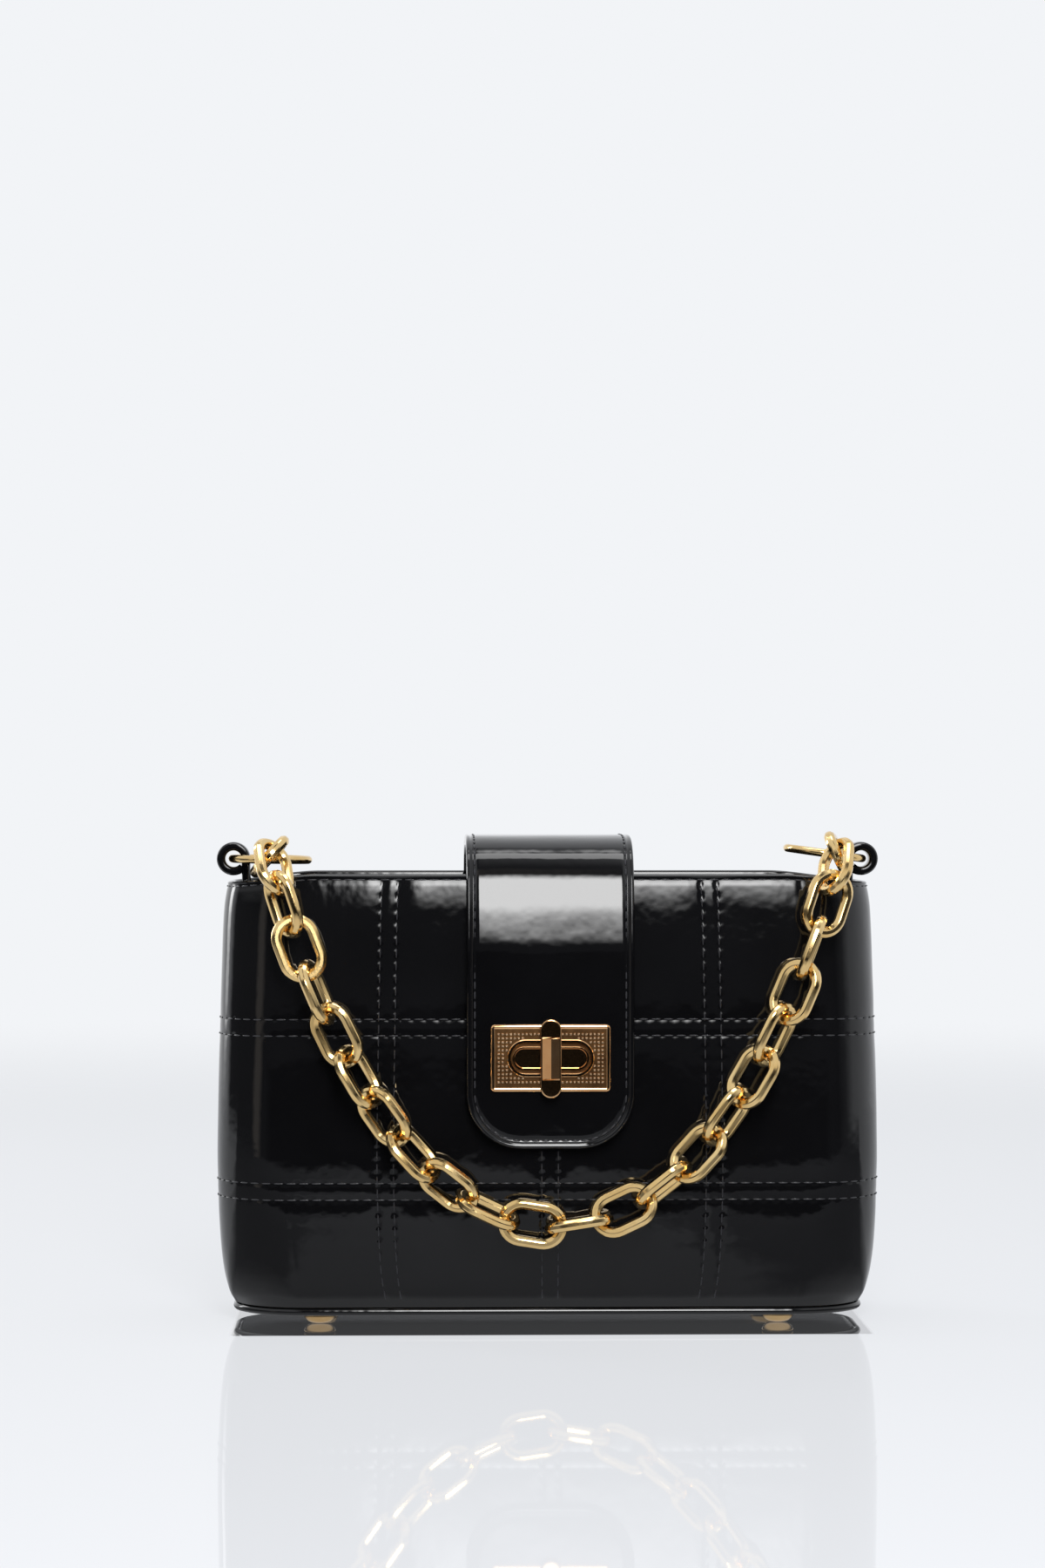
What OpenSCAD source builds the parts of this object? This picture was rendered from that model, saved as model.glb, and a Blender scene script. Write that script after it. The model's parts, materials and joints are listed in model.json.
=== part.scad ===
// Chain shoulder bag: a quilted patent leather bag with a tab closure, a turn lock and a chain strap.
// X runs to the right, Y to the back and Z up. The origin is on the floor, under the middle of the base.

/* [Body] */
// Width of the bag at its fullest height
body_w = 244; // [210:1:300]
// Depth of the bag at its fullest height
body_d = 80; // [72:1:110]
// Height of the top edge above the floor
body_h = 164.5; // [150:0.5:200]
// Radius of the upright corners of the body
corner_r = 27; // [18:0.5:32]
// How far the top edge dips at the sides
side_dip = 3; // [0:0.5:6]
// Thickness of the quilted outer leather with its foam
panel_t = 2.4; // [1.8:0.1:3]
// Thickness of the boards behind the outer leather
stiffener_t = 0.9; // [0.6:0.1:1.4]
// Thickness of the lining cloth with its glue
lining_t = 0.8; // [0.5:0.1:1.2]
// Height of the leather facing inside the mouth
facing_h = 22; // [12:1:40]

/* [Base] */
// Radius of the piping round the base
piping_r = 1.4; // [0.8:0.1:2]
// Thickness of the leather under the base
base_t = 1.8; // [1.2:0.1:2.4]
// Thickness of the board in the base
board_t = 1.6; // [1:0.1:3]
// Diameter of a foot
foot_d = 11.7; // [8:0.1:15]
// Height of a foot
foot_h = 3.6; // [2.5:0.1:6]
// Diameter of the shank of a foot
shank_d = 3; // [2:0.1:4]
// Distance of the middle of a foot from the side of the body
foot_in_x = 38; // [24:1:70]
// Distance of the middle of a foot from the front or back of the body
foot_in_y = 12; // [10:0.5:20]

/* [Tab] */
// Width of the tab
tab_w = 61; // [46:0.5:80]
// Height of the top of the tab above the top edge of the body
tab_rise = 14.1; // [11:0.1:24]
// How far the front of the tab hangs down below the top edge of the body
tab_hang = 99.5; // [90:0.5:115]
// Radius of the lower corners of the tab
tab_corner_r = 20; // [8:0.5:22]
// Gap between the tab and the fullest part of the body
tab_gap = 2.3; // [1.6:0.1:4]
// Thickness of the outer leather of the tab
tab_outer_t = 1.8; // [1.2:0.1:2.4]
// Thickness of the board inside the front of the tab
tab_board_t = 0.8; // [0.5:0.1:1.2]
// Thickness of the leather that lines the tab
tab_lining_t = 1.4; // [1:0.1:2]
// Height of the sewn end of the tab on the back panel
tab_sewn_h = 28; // [15:1:45]

/* [Lock] */
// Width of the lock plate
plate_w = 43.5; // [38:0.5:56]
// Height of the lock plate
plate_h = 24.4; // [20:0.2:30]
// Thickness of the lock plate
plate_t = 1.2; // [0.8:0.1:2]
// Distance of the middle of the lock below the top edge of the body
lock_drop = 66.5; // [56:0.5:74]
// Width of the slot in the lock plate
slot_w = 30.3; // [28:0.1:34]
// Height of the slot in the lock plate
slot_h = 11; // [9:0.1:13]
// Length of the turn knob
knob_l = 28.6; // [20:0.1:29.5]
// Width of the turn knob
knob_w = 7.6; // [5:0.1:8.4]
// Thickness of the turn knob
knob_t = 4; // [2.5:0.1:6]

/* [Strap] */
// Outer length of a chain link
link_l = 25.4; // [23:0.1:28]
// Outer width of a chain link
link_w = 17.5; // [16:0.1:20]
// Thickness of the wire of a link
link_wire = 4; // [3:0.1:4.4]
// Free play between two links that pull on each other
link_play = 0.3; // [0.2:0.05:0.6]
// Distance from the front of the body to the middle of the hanging chain
chain_out = 9.4; // [9.4:0.1:12]
// Outer diameter of the rings at the sides
ring_d = 31; // [27:0.5:34]
// Thickness of the wire of a ring
ring_wire = 3; // [2.4:0.1:3.4]

/* [Hidden] */
$fn = 48;
cut = 1;
clear = 0.3;
layer = 0.3;

// Levels of the body, as shares of its height, with its width and depth there as shares of the fullest
level_shares = [0, 0.03, 0.08, 0.16, 0.3, 0.45, 0.62, 0.8, 0.93, 1];
width_shares = [[0, 0.951], [0.03, 0.966], [0.08, 0.981], [0.16, 0.992], [0.3, 1], [0.45, 0.999],
    [0.62, 0.994], [0.8, 0.987], [0.93, 0.981], [1, 0.972]];
depth_shares = [[0, 0.955], [0.03, 0.975], [0.08, 0.99], [0.16, 1], [0.3, 1], [0.45, 0.995],
    [0.62, 0.98], [0.8, 0.955], [0.93, 0.935], [1, 0.925]];

arc_steps = 6;
face_steps = 8;
side_share = 0.72;

foot_x = body_w / 2 - foot_in_x;
foot_y = body_d / 2 - foot_in_y;
piping_z = foot_h + piping_r;
piping_in = 1.2;
panel_low = piping_z + piping_r + layer;
panel_rise = body_h - panel_low;
board_z = foot_h + base_t;
washer_t = 0.8;
washer_d = 9;
lining_z = board_z + board_t + washer_t + layer;
shell_in = panel_t + clear + stiffener_t + clear;

// Height share of a level of the lining or facing that starts at z
function share_at(z) = (z - panel_low) / panel_rise;
function half_w(h) = body_w / 2 * lookup(h, width_shares);
function half_d(h) = body_d / 2 * lookup(h, depth_shares);
function smooth(s) = let (c = min(1, max(0, s))) c * c * (3 - 2 * c);
function dip(x, h) = side_dip * pow(max(0, h), 6) * smooth((abs(x) / half_w(1) - side_share) / (1 - side_share));

// One half of the outline of a rounded rectangle, from its left side round to its right; way is -1 at the front
function half_outline(w, d, r, way) = concat(
    [[-w, 0]],
    [for (k = [0:arc_steps]) let (a = 90 * k / arc_steps) [-(w - r + r * cos(a)), way * (d - r + r * sin(a))]],
    [for (k = [1:face_steps - 1]) [(w - r) * (2 * k / face_steps - 1), way * d]],
    [for (k = [0:arc_steps]) let (a = 90 - 90 * k / arc_steps) [w - r + r * cos(a), way * (d - r + r * sin(a))]],
    [[w, 0]]);

// The half outline of the body at a height share, drawn in by a depth, as points in space
function body_half(h, inset, way) = [for (p = half_outline(half_w(h) - inset, half_d(h) - inset,
    corner_r - inset, way)) [p[0], p[1], panel_low + panel_rise * h - dip(p[0], h)]];

// The whole outline, anticlockwise from the left side when seen from above
function body_ring(h, inset) = let (front = body_half(h, inset, -1), back = body_half(h, inset, 1))
    concat(front, [for (k = [len(back) - 2:-1:1]) back[k]]);

function lifted(ring, dz) = [for (p = ring) [p[0], p[1], p[2] + dz]];
function flattened(ring, z) = [for (p = ring) [p[0], p[1], z]];

// The triangles of a grid of points, turned over if flip is true
function grid_faces(rows, cols, start, flip) = [for (r = [0:rows - 2], c = [0:cols - 2])
    let (a = start + r * cols + c, b = a + 1, d = a + cols, e = d + 1)
    each flip ? [[a, e, b], [a, d, e]] : [[a, b, e], [a, e, d]]];

// A closed solid between two grids of points with equal rows and columns
module sheet(near, far) {
    rows = len(near);
    cols = len(near[0]);
    n = rows * cols;
    edge = concat(
        [for (c = [0:cols - 2]) c],
        [for (r = [0:rows - 2]) r * cols + cols - 1],
        [for (c = [cols - 1:-1:1]) (rows - 1) * cols + c],
        [for (r = [rows - 1:-1:1]) r * cols]);
    rim = [for (k = [0:len(edge) - 1]) let (a = edge[k], b = edge[(k + 1) % len(edge)])
        each [[a, n + a, n + b], [a, n + b, b]]];
    polyhedron(concat([for (r = near) each r], [for (r = far) each r]),
        concat(grid_faces(rows, cols, 0, false), grid_faces(rows, cols, n, true), rim));
}

// The faces between rings of points that follow each other, each ring closed on itself
function ring_faces(count, cols, closed) = [for (r = [0:closed ? count - 1 : count - 2], c = [0:cols - 1])
    let (a = r * cols + c, b = r * cols + (c + 1) % cols, up = (r + 1) % count, d = up * cols + c,
        e = up * cols + (c + 1) % cols)
    each [[a, e, b], [a, d, e]]];

// A solid ring whose section is the closed run of rings
module band(rings) {
    polyhedron([for (r = rings) each r], ring_faces(len(rings), len(rings[0]), true));
}

// A solid through rings of points, closed by its first ring and its last, which lie flat about the middle
module loft(rings) {
    cols = len(rings[0]);
    count = len(rings) * cols;
    last = count - cols;
    polyhedron(concat([for (r = rings) each r], [[0, 0, rings[0][0][2]], [0, 0, rings[len(rings) - 1][0][2]]]),
        concat(ring_faces(len(rings), cols, false), [for (c = [0:cols - 1]) let (b = (c + 1) % cols)
            each [[count, c, b], [count + 1, last + b, last + c]]]));
}

// A quilted wall of the body, from one side seam round to the other
module wall(way) {
    outside = [for (h = level_shares) body_half(h, 0, way)];
    inside = [for (h = level_shares) body_half(h, panel_t, way)];
    if (way < 0) sheet(inside, outside);
    else sheet(outside, inside);
}

module front_panel() { color("#0c0c0d") wall(-1); }

module back_panel() { color("#0c0c0d") wall(1); }

// A board behind the flat of a wall, kept clear of the corners and of the base
board_in = panel_t + clear;
board_share = 0.9;
board_levels = [for (h = level_shares) if (h > level_shares[1] && h < 1) h];

module stiffener(way) {
    near = [for (h = board_levels) let (w = (half_w(h) - corner_r) * board_share, d = half_d(h) - board_in)
        [for (s = [-1, 1]) [s * w, way * d, panel_low + panel_rise * h]]];
    far = [for (r = near) [for (p = r) [p[0], p[1] - way * stiffener_t, p[2]]]];
    if (way < 0) sheet(far, near);
    else sheet(near, far);
}

module front_stiffener() { color("#b9a98c") stiffener(-1); }

module back_stiffener() { color("#b9a98c") stiffener(1); }

// The base: leather outside, a board inside, and piping where the walls meet them
base_ring = body_ring(0, 0);
base_edge = body_ring(0, piping_in + piping_r + layer);
board_edge = body_ring(0, panel_t + piping_in + layer);

module foot_places() {
    for (x = [-1, 1], y = [-1, 1]) translate([x * foot_x, y * foot_y, 0]) children();
}

module base_layer(edge, z, t) {
    difference() {
        translate([0, 0, z]) linear_extrude(t) polygon([for (p = edge) [p[0], p[1]]]);
        foot_places() translate([0, 0, z - cut]) cylinder(d = shank_d + clear, h = t + cut + cut);
    }
}

module base_panel() { color("#0c0c0d") base_layer(base_edge, foot_h, base_t); }

module base_board() { color("#b9a98c") base_layer(board_edge, board_z, board_t); }

piping_sides = 8;

module base_piping() {
    color("#0c0c0d") band([for (k = [0:piping_sides - 1]) let (a = 360 * k / piping_sides)
        flattened(body_ring(0, piping_in - piping_r * cos(a)), piping_z + piping_r * sin(a))]);
}

// A foot: a low domed stud whose shank goes through the base, closed by a washer inside
foot_dome_share = 0.8;
foot_edge = 0.9;

module foot(x, y) {
    color("#c9a860") translate([x * foot_x, y * foot_y, 0]) {
        cylinder(d1 = foot_d * foot_dome_share, d2 = foot_d, h = foot_edge);
        translate([0, 0, foot_edge]) cylinder(d = foot_d, h = foot_h - foot_edge);
        translate([0, 0, foot_h]) cylinder(d = shank_d, h = base_t + board_t + washer_t);
    }
}

module foot_front_left() { foot(-1, -1); }

module foot_front_right() { foot(1, -1); }

module foot_back_left() { foot(-1, 1); }

module foot_back_right() { foot(1, 1); }

module foot_washers() {
    color("#c9a860") foot_places() translate([0, 0, board_z + board_t]) difference() {
        cylinder(d = washer_d, h = washer_t);
        translate([0, 0, -cut]) cylinder(d = shank_d + clear, h = washer_t + cut + cut);
    }
}

// The cloth lining: a closed bag that ends under the facing
lining_top = share_at(body_h - facing_h - layer);
lining_levels = concat([share_at(lining_z)], [for (h = level_shares) if (h > share_at(lining_z)
    && h < lining_top) h], [lining_top]);

function lining_ring(h, inset) = flattened(body_ring(max(0, h), shell_in + inset), panel_low + panel_rise * h);

module lining() {
    count = len(lining_levels);
    color("#17171a") loft(concat(
        [for (h = lining_levels) lining_ring(h, 0)],
        [for (k = [count - 1:-1:1]) lining_ring(lining_levels[k], lining_t)],
        [lifted(lining_ring(lining_levels[0], lining_t), lining_t)]));
}

// The leather facing that lines the mouth above the cloth
facing_t = 1.2;
facing_low = body_h - facing_h;
facing_shares = [0.93, 0.98];

function facing_rings(inset) = concat([flattened(body_ring(share_at(facing_low), inset), facing_low)],
    [for (h = facing_shares) body_ring(h, inset)]);

module top_facing() {
    outside = facing_rings(shell_in);
    inside = facing_rings(shell_in + facing_t);
    color("#0c0c0d") band(concat(outside, [for (k = [len(inside) - 1:-1:0]) inside[k]]));
}

// An open pocket sewn on the back of the lining
pocket_in = 52;
pocket_w = body_w - pocket_in - pocket_in;
pocket_low = 40;
pocket_top = body_h - pocket_in + stiffener_t;

module inner_pocket() {
    wall_in = shell_in + lining_t + clear;
    rows = [for (h = level_shares) let (z = panel_low + panel_rise * h) if (z > pocket_low && z < pocket_top) h];
    near = [for (h = rows) [for (s = [-1, 1]) [s * pocket_w / 2, half_d(h) - wall_in, panel_low + panel_rise * h]]];
    far = [for (r = near) [for (p = r) [p[0], p[1] - lining_t, p[2]]]];
    color("#17171a") sheet(near, far);
}

// The tab: one strap of two leathers that is sewn on the back, arches over the mouth and hangs in front
tab_in = body_d / 2 + tab_gap;
tab_t = tab_outer_t + tab_board_t + tab_lining_t;
arch_drop = 34;
arch_z = body_h - arch_drop;
arch_rise = arch_drop + tab_rise - tab_t;
arch_power = 4;
arch_steps = 10;
rear_split = 60;
front_split = 120;
tab_lining_in = 0.6;

// A point of the arch at an angle from the back over to the front, at a depth outside its inner face
function arch(a, out) =
    let (c = cos(a), s = sin(a),
        y = tab_in * sign(c) * pow(abs(c), 2 / arch_power),
        z = arch_rise * pow(abs(s), 2 / arch_power),
        ny = sign(c) * pow(abs(y) / tab_in, arch_power - 1) / tab_in,
        nz = pow(z / arch_rise, arch_power - 1) / arch_rise,
        n = norm([ny, nz]))
    [y + out * ny / n, arch_z + z + out * nz / n];

// A length of the arch between two angles, between two depths
module arch_strip(from, to, near_out, far_out, w) {
    function row(k, out) = let (p = arch(from + (to - from) * k / arch_steps, out))
        [for (s = [-1, 1]) [s * w / 2, p[0], p[1]]];
    sheet([for (k = [0:arch_steps]) row(k, far_out)], [for (k = [0:arch_steps]) row(k, near_out)]);
}

outer_in = tab_t - tab_outer_t;

module tab_anchor() {
    near = half_d(share_at(arch_z - tab_sewn_h)) + clear;
    color("#0c0c0d") translate([-tab_w / 2, near, arch_z - tab_sewn_h])
        cube([tab_w, tab_in + tab_t - near, tab_sewn_h]);
}

module tab_rear_bend() { color("#0c0c0d") arch_strip(0, rear_split, 0, tab_t, tab_w); }

module tab_top() { color("#0c0c0d") arch_strip(rear_split, front_split, outer_in, tab_t, tab_w); }

module tab_top_lining() {
    color("#151516") arch_strip(rear_split, front_split, 0, tab_lining_t, tab_w - tab_lining_in);
}

module tab_front_bend() { color("#0c0c0d") arch_strip(front_split, 180, 0, tab_t, tab_w); }

// The outline of the hanging front of the tab, drawn in by a depth, in the plane of the front
module leaf_outline(inset) {
    r = tab_corner_r - inset;
    w = tab_w / 2 - inset;
    low = body_h - tab_hang + inset;
    translate([-w, low + r]) square([w + w, arch_z - low - r]);
    translate([-w + r, low]) square([w + w - r - r, r]);
    for (s = [-1, 1]) translate([s * (w - r), low + r]) circle(r);
}

// A flat layer of the front of the tab, between two depths outside its inner face
module leaf(near_out, far_out, inset) {
    translate([0, -tab_in - near_out, 0]) rotate([90, 0, 0])
        linear_extrude(far_out - near_out) leaf_outline(inset);
}

// An oval with round ends, in the plane of the front
module oval(w, h) {
    square([w - h, h], center = true);
    for (s = [-1, 1]) translate([s * (w - h) / 2, 0]) circle(h / 2);
}

// A flat piece of the lock that stands out from the tab between two depths
module lock_layer(near_out, far_out) {
    translate([0, -tab_in - near_out, lock_h]) rotate([90, 0, 0]) linear_extrude(far_out - near_out) children();
}

// The slot in the layers of the tab, under the slot of the plate
slot_more = 0.8;

module tab_front() {
    color("#0c0c0d") difference() {
        leaf(outer_in, tab_t, 0);
        lock_layer(outer_in - cut, tab_t + cut) oval(slot_w + slot_more, slot_h + slot_more);
    }
}

board_back = 3.4;

module tab_front_board() {
    color("#b9a98c") difference() {
        leaf(tab_lining_t, outer_in, board_back);
        lock_layer(tab_lining_t - cut, outer_in + cut) oval(slot_w + slot_more, slot_h + slot_more);
    }
}

module tab_front_lining() {
    color("#151516") difference() {
        leaf(0, tab_lining_t, tab_lining_in);
        lock_layer(-cut, tab_lining_t + cut) oval(slot_w + slot_more, slot_h + slot_more);
    }
}

// The lock: a plate with a raised oval rim, an oval boss in its slot, and the knob on its post
plate_corner = 1.2;
rim_h = 0.8;
rim_w = 1.4;
boss_play = 1.2;
boss_d = tab_t + plate_t + rim_h;
back_t = 0.8;
back_out = 3;
post_d = 4.4;
knob_gap = 0.3;
knob_edge = 0.8;

module plate_outline(w, h) {
    intersection() {
        square([w, h], center = true);
        rotate(45) square((w + h) / sqrt(2) - plate_corner, center = true);
    }
}

module lock_plate() {
    color("#e0b98a") {
        lock_layer(tab_t, tab_t + plate_t) difference() {
            plate_outline(plate_w, plate_h);
            oval(slot_w, slot_h);
        }
        lock_layer(tab_t + plate_t, tab_t + plate_t + rim_h) difference() {
            oval(slot_w + rim_w, slot_h + rim_w);
            oval(slot_w, slot_h);
        }
    }
}

module lock_back_plate() {
    color("#c9a860") lock_layer(-back_t, 0) difference() {
        plate_outline(plate_w - back_out, plate_h - back_out);
        oval(slot_w, slot_h);
    }
}

module lock_boss() {
    color("#e0b98a") {
        lock_layer(0, boss_d) difference() {
            oval(slot_w - boss_play - boss_play, slot_h - boss_play - boss_play);
            circle((post_d + clear) / 2);
        }
    }
}

module knob_post() {
    color("#c9a860") lock_layer(0, boss_d + knob_gap) circle(post_d / 2);
}

module turn_knob() {
    color("#e0b98a") {
        lock_layer(boss_d + knob_gap, boss_d + knob_gap + knob_t - knob_edge) rotate(90) oval(knob_l, knob_w);
        lock_layer(boss_d + knob_gap + knob_t - knob_edge, boss_d + knob_gap + knob_t) rotate(90)
            oval(knob_l - knob_edge - knob_edge, knob_w - knob_edge - knob_edge);
    }
}

// The base of the lock on the front panel, and its washer behind the leather
lock_base_t = 0.8;
lock_base_w = 26;
lock_base_h = 12;
lock_h = body_h - lock_drop;
lock_y = -half_d(share_at(lock_h));

module lock_base() {
    color("#c9a860") translate([0, lock_y - clear, lock_h]) rotate([90, 0, 0])
        linear_extrude(lock_base_t) oval(lock_base_w, lock_base_h);
}

// The leather loops that stand in the mouth at the sides and hold the rings
loop_back = 29;
loop_up = 5.3;
loop_out = 6.2;
loop_w = 12;
loop_leg_t = 2.5;
loop_leg_drop = 18.5;
loop_gap = 0.15;
loop_y = loop_back - body_d / 2;
loop_z = body_h + loop_up;
loop_leg_low = body_h - loop_leg_drop;
// The legs stand inside the facing, where its corner begins to draw in
facing_in = shell_in + facing_t;
loop_corner_r = corner_r - facing_in;
loop_corner_y = max(0, loop_w / 2 - loop_y - half_d(1) + corner_r);
loop_leg_x = half_w(facing_shares[1]) - facing_in - loop_gap
    - loop_corner_r + sqrt(loop_corner_r * loop_corner_r - loop_corner_y * loop_corner_y);
loop_x = loop_leg_x + loop_out - loop_leg_t;
slot_half_x = 3.2;
slot_half_z = 2.2;
slot_in = 0.7;
slot_mid_x = loop_x - slot_in;
ring_pull_out = 0.5;
ring_pull_x = loop_x + ring_pull_out;

module ring_loop(side) {
    color("#0c0c0d") translate([0, loop_y + loop_w / 2, 0]) rotate([90, 0, 0]) linear_extrude(loop_w)
        difference() {
            union() {
                translate([side * loop_x, loop_z]) circle(loop_out);
                translate([side * (loop_x - loop_out + loop_leg_t / 2) - loop_leg_t / 2, loop_leg_low])
                    square([loop_leg_t, loop_z - loop_leg_low]);
            }
            translate([side * slot_mid_x - slot_half_x, loop_z - slot_half_z])
                square([slot_half_x + slot_half_x, slot_half_z + slot_half_z]);
        }
}

module ring_loop_left() { ring_loop(-1); }

module ring_loop_right() { ring_loop(1); }

// The strap. Contact points run from the middle of the hanging chain to the rings, with as many links on each
// side as hang between them besides the end links.
side_links = 11;
wires_apart = link_l - link_wire;
wire_out = (link_wire + link_play) / 2;
pitch = wires_apart - wire_out - wire_out;
// The strap bends sharply at the top, where the links lie looser in each other
lean_room = wire_out + 1.35;
crease_room = wire_out + 1.55;
top_pitch = wires_apart - lean_room - crease_room;
hook_room_right = (link_wire + ring_wire + link_play) / 2 + 1.85;
hook_room_left = (link_wire + ring_wire + link_play) / 2 + 0.55;
strap_x = 1.8;
lean = 46;
chain_y = -body_d / 2 - chain_out;
// The upper end of the hanging run: how far it lies in from the side, out from the front and below the top edge
hang_in = 20.66;
hang_out = 7.6;
hang_drop = 2.4;
hang_top = [body_w / 2 - hang_in, -body_d / 2 - hang_out, body_h - hang_drop];
hang_y_shares = [1, 1, 1, 1, 1, 1, 1, 1, 1, 0.7, 0];
ring_r = (ring_d - ring_wire) / 2;
function end_reach(side) = wires_apart - crease_room - (side > 0 ? hook_room_right : hook_room_left);
ring_rise_right = 8;
ring_rise_left = -1;

// How far a link is turned from showing its face, from the middle of the chain outwards to the end link:
// every other link shows more of its face and the ones between more of their edge
right_turns = [-85, 22, -68, 39, -54, 40, -54, 32, -82, -20, 58, 115];
left_turns = [6, -74, 38, -55, 40, -54, 30, -72, -5, -124, -50, 46];

// The step from one contact point of the hanging chain to the next, which drifts back towards the top. A flatter
// curve reaches further out, so the one that ends at the upper end is found by halving.
function heading(j, sag) = atan((j - 1 / 2) * pitch / sag);
function drift(j) = (hang_y_shares[j] - hang_y_shares[j - 1]) * (chain_y - hang_top[1]);
function flat_step(j) = sqrt(pitch * pitch - drift(j) * drift(j));
function sum_x(j, sag) = j == 0 ? 0 : sum_x(j - 1, sag) + flat_step(j) * cos(heading(j, sag));
function sum_z(j, sag) = j == 0 ? 0 : sum_z(j - 1, sag) + flat_step(j) * sin(heading(j, sag));
hang_count = side_links - 1;
halvings = 30;
function sag_between(low, high, left) = let (mid = (low + high) / 2) left == 0 ? mid
    : sum_x(hang_count, mid) > hang_top[0] ? sag_between(low, mid, left - 1) : sag_between(mid, high, left - 1);
chain_sag = sag_between(link_wire, body_w, halvings);
low_z = hang_top[2] - sum_z(hang_count, chain_sag);
lean_out = 0.12;
hooked = hang_top
    + top_pitch * [lean_out, sqrt(1 - lean_out * lean_out) * cos(lean), sqrt(1 - lean_out * lean_out) * sin(lean)];

// The contact point on the right, for a strap that is not yet moved aside
function contact(j) = j > hang_count ? hooked
    : [sum_x(j, chain_sag), chain_y + (hang_y_shares[j] - 1) * (chain_y - hang_top[1]),
        low_z + sum_z(j, chain_sag)];

function mirrored(p, side) = [side * p[0] + strap_x, p[1], p[2]];

// The middle of a ring, which leans inwards from its loop
function ring_rise(side) = side > 0 ? ring_rise_right : ring_rise_left;
function ring_mid_x(side) = side * (ring_pull_x - ring_r * cos(ring_rise(side)));
function ring_mid_z(side) = loop_z + ring_r * sin(ring_rise(side));
// The point of a ring's wire where its end link pulls, found from the last contact point of the strap
hook_out = 2.2;
function hook_x(side) = mirrored(hooked, side)[0] + side * hook_out;
function hook_z(side) = ring_mid_z(side) - side * (hook_x(side) - ring_mid_x(side)) * tan(ring_rise(side));
function hook_y(side) = hooked[1] + sqrt(end_reach(side) * end_reach(side) - hook_out * hook_out
    - pow(hook_z(side) - hooked[2], 2));
function hook(side) = [hook_x(side), hook_y(side), hook_z(side)];
function ring_mid_y(side) = hook_y(side) + sqrt(ring_r * ring_r
    - pow((hook_x(side) - ring_mid_x(side)) / cos(ring_rise(side)), 2));

module ring(side) {
    color("#d9b25e") translate([ring_mid_x(side), ring_mid_y(side), ring_mid_z(side)])
        rotate([0, side * ring_rise(side), 0]) rotate_extrude() translate([ring_r, 0]) circle(ring_wire / 2);
}

module ring_left() { ring(-1); }

module ring_right() { ring(1); }

// A link in its own plane, with its length along Z and its width along X
module link() {
    bend_r = (link_w - link_wire) / 2;
    straight = link_l - link_w;
    rotate([90, 0, 0]) for (s = [0, 180]) rotate(s) {
        translate([0, straight / 2, 0]) rotate_extrude(angle = 180) translate([bend_r, 0]) circle(link_wire / 2);
        translate([bend_r, straight / 2, 0]) rotate([90, 0, 0]) cylinder(d = link_wire, h = straight);
    }
}

function unit(v) = v / norm(v);

// Puts a link on the line between two points with its first wire a way before the line's start, turned about
// its own length from facing the side that it looks to
module between(from, to, before, turn, looks) {
    d = unit(to - from);
    toward = unit(looks - (looks * d) * d);
    w = cos(turn) * cross(d, toward) + sin(turn) * toward;
    n = cross(d, w);
    m = from + (wires_apart / 2 - before) * d;
    multmatrix([[w[0], n[0], d[0], m[0]], [w[1], n[1], d[1], m[1]], [w[2], n[2], d[2], m[2]], [0, 0, 0, 1]])
        link();
}

// The links of the chain are numbered from the left ring to the right ring
link_count = side_links + side_links;
function link_side(i) = i > side_links ? 1 : -1;
function link_place(i) = i > side_links ? i - side_links : side_links + 1 - i;
function link_turn(side, j) = (side > 0 ? right_turns : left_turns)[j - 1];

module chain_link(i) {
    side = link_side(i);
    j = link_place(i);
    color("#d9b25e") between(mirrored(contact(j - 1), side), mirrored(contact(j), side),
        j == side_links ? lean_room : wire_out, link_turn(side, j), [0, -1, 0]);
}

module end_link(side) {
    color("#d9b25e") between(mirrored(hooked, side), hook(side), crease_room,
        link_turn(side, side_links + 1), [0, 0, 1]);
}

module strap_end_left() { end_link(-1); }

module strap_end_right() { end_link(1); }

function link_name(i) = str("chain_link_", i < 10 ? "0" : "", i);

front_panel();
back_panel();
front_stiffener();
back_stiffener();
base_panel();
base_board();
base_piping();
foot_front_left();
foot_front_right();
foot_back_left();
foot_back_right();
foot_washers();
lining();
top_facing();
inner_pocket();
tab_anchor();
tab_rear_bend();
tab_top();
tab_top_lining();
tab_front_bend();
tab_front();
tab_front_board();
tab_front_lining();
lock_plate();
lock_back_plate();
lock_boss();
knob_post();
turn_knob();
lock_base();
ring_loop_left();
ring_loop_right();
ring_left();
ring_right();
strap_end_left();
strap_end_right();
for (i = [1:link_count]) chain_link(i);
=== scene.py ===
"""A chain shoulder bag in black patent leather with gold fittings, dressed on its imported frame."""

import bisect
import json
import math

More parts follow.
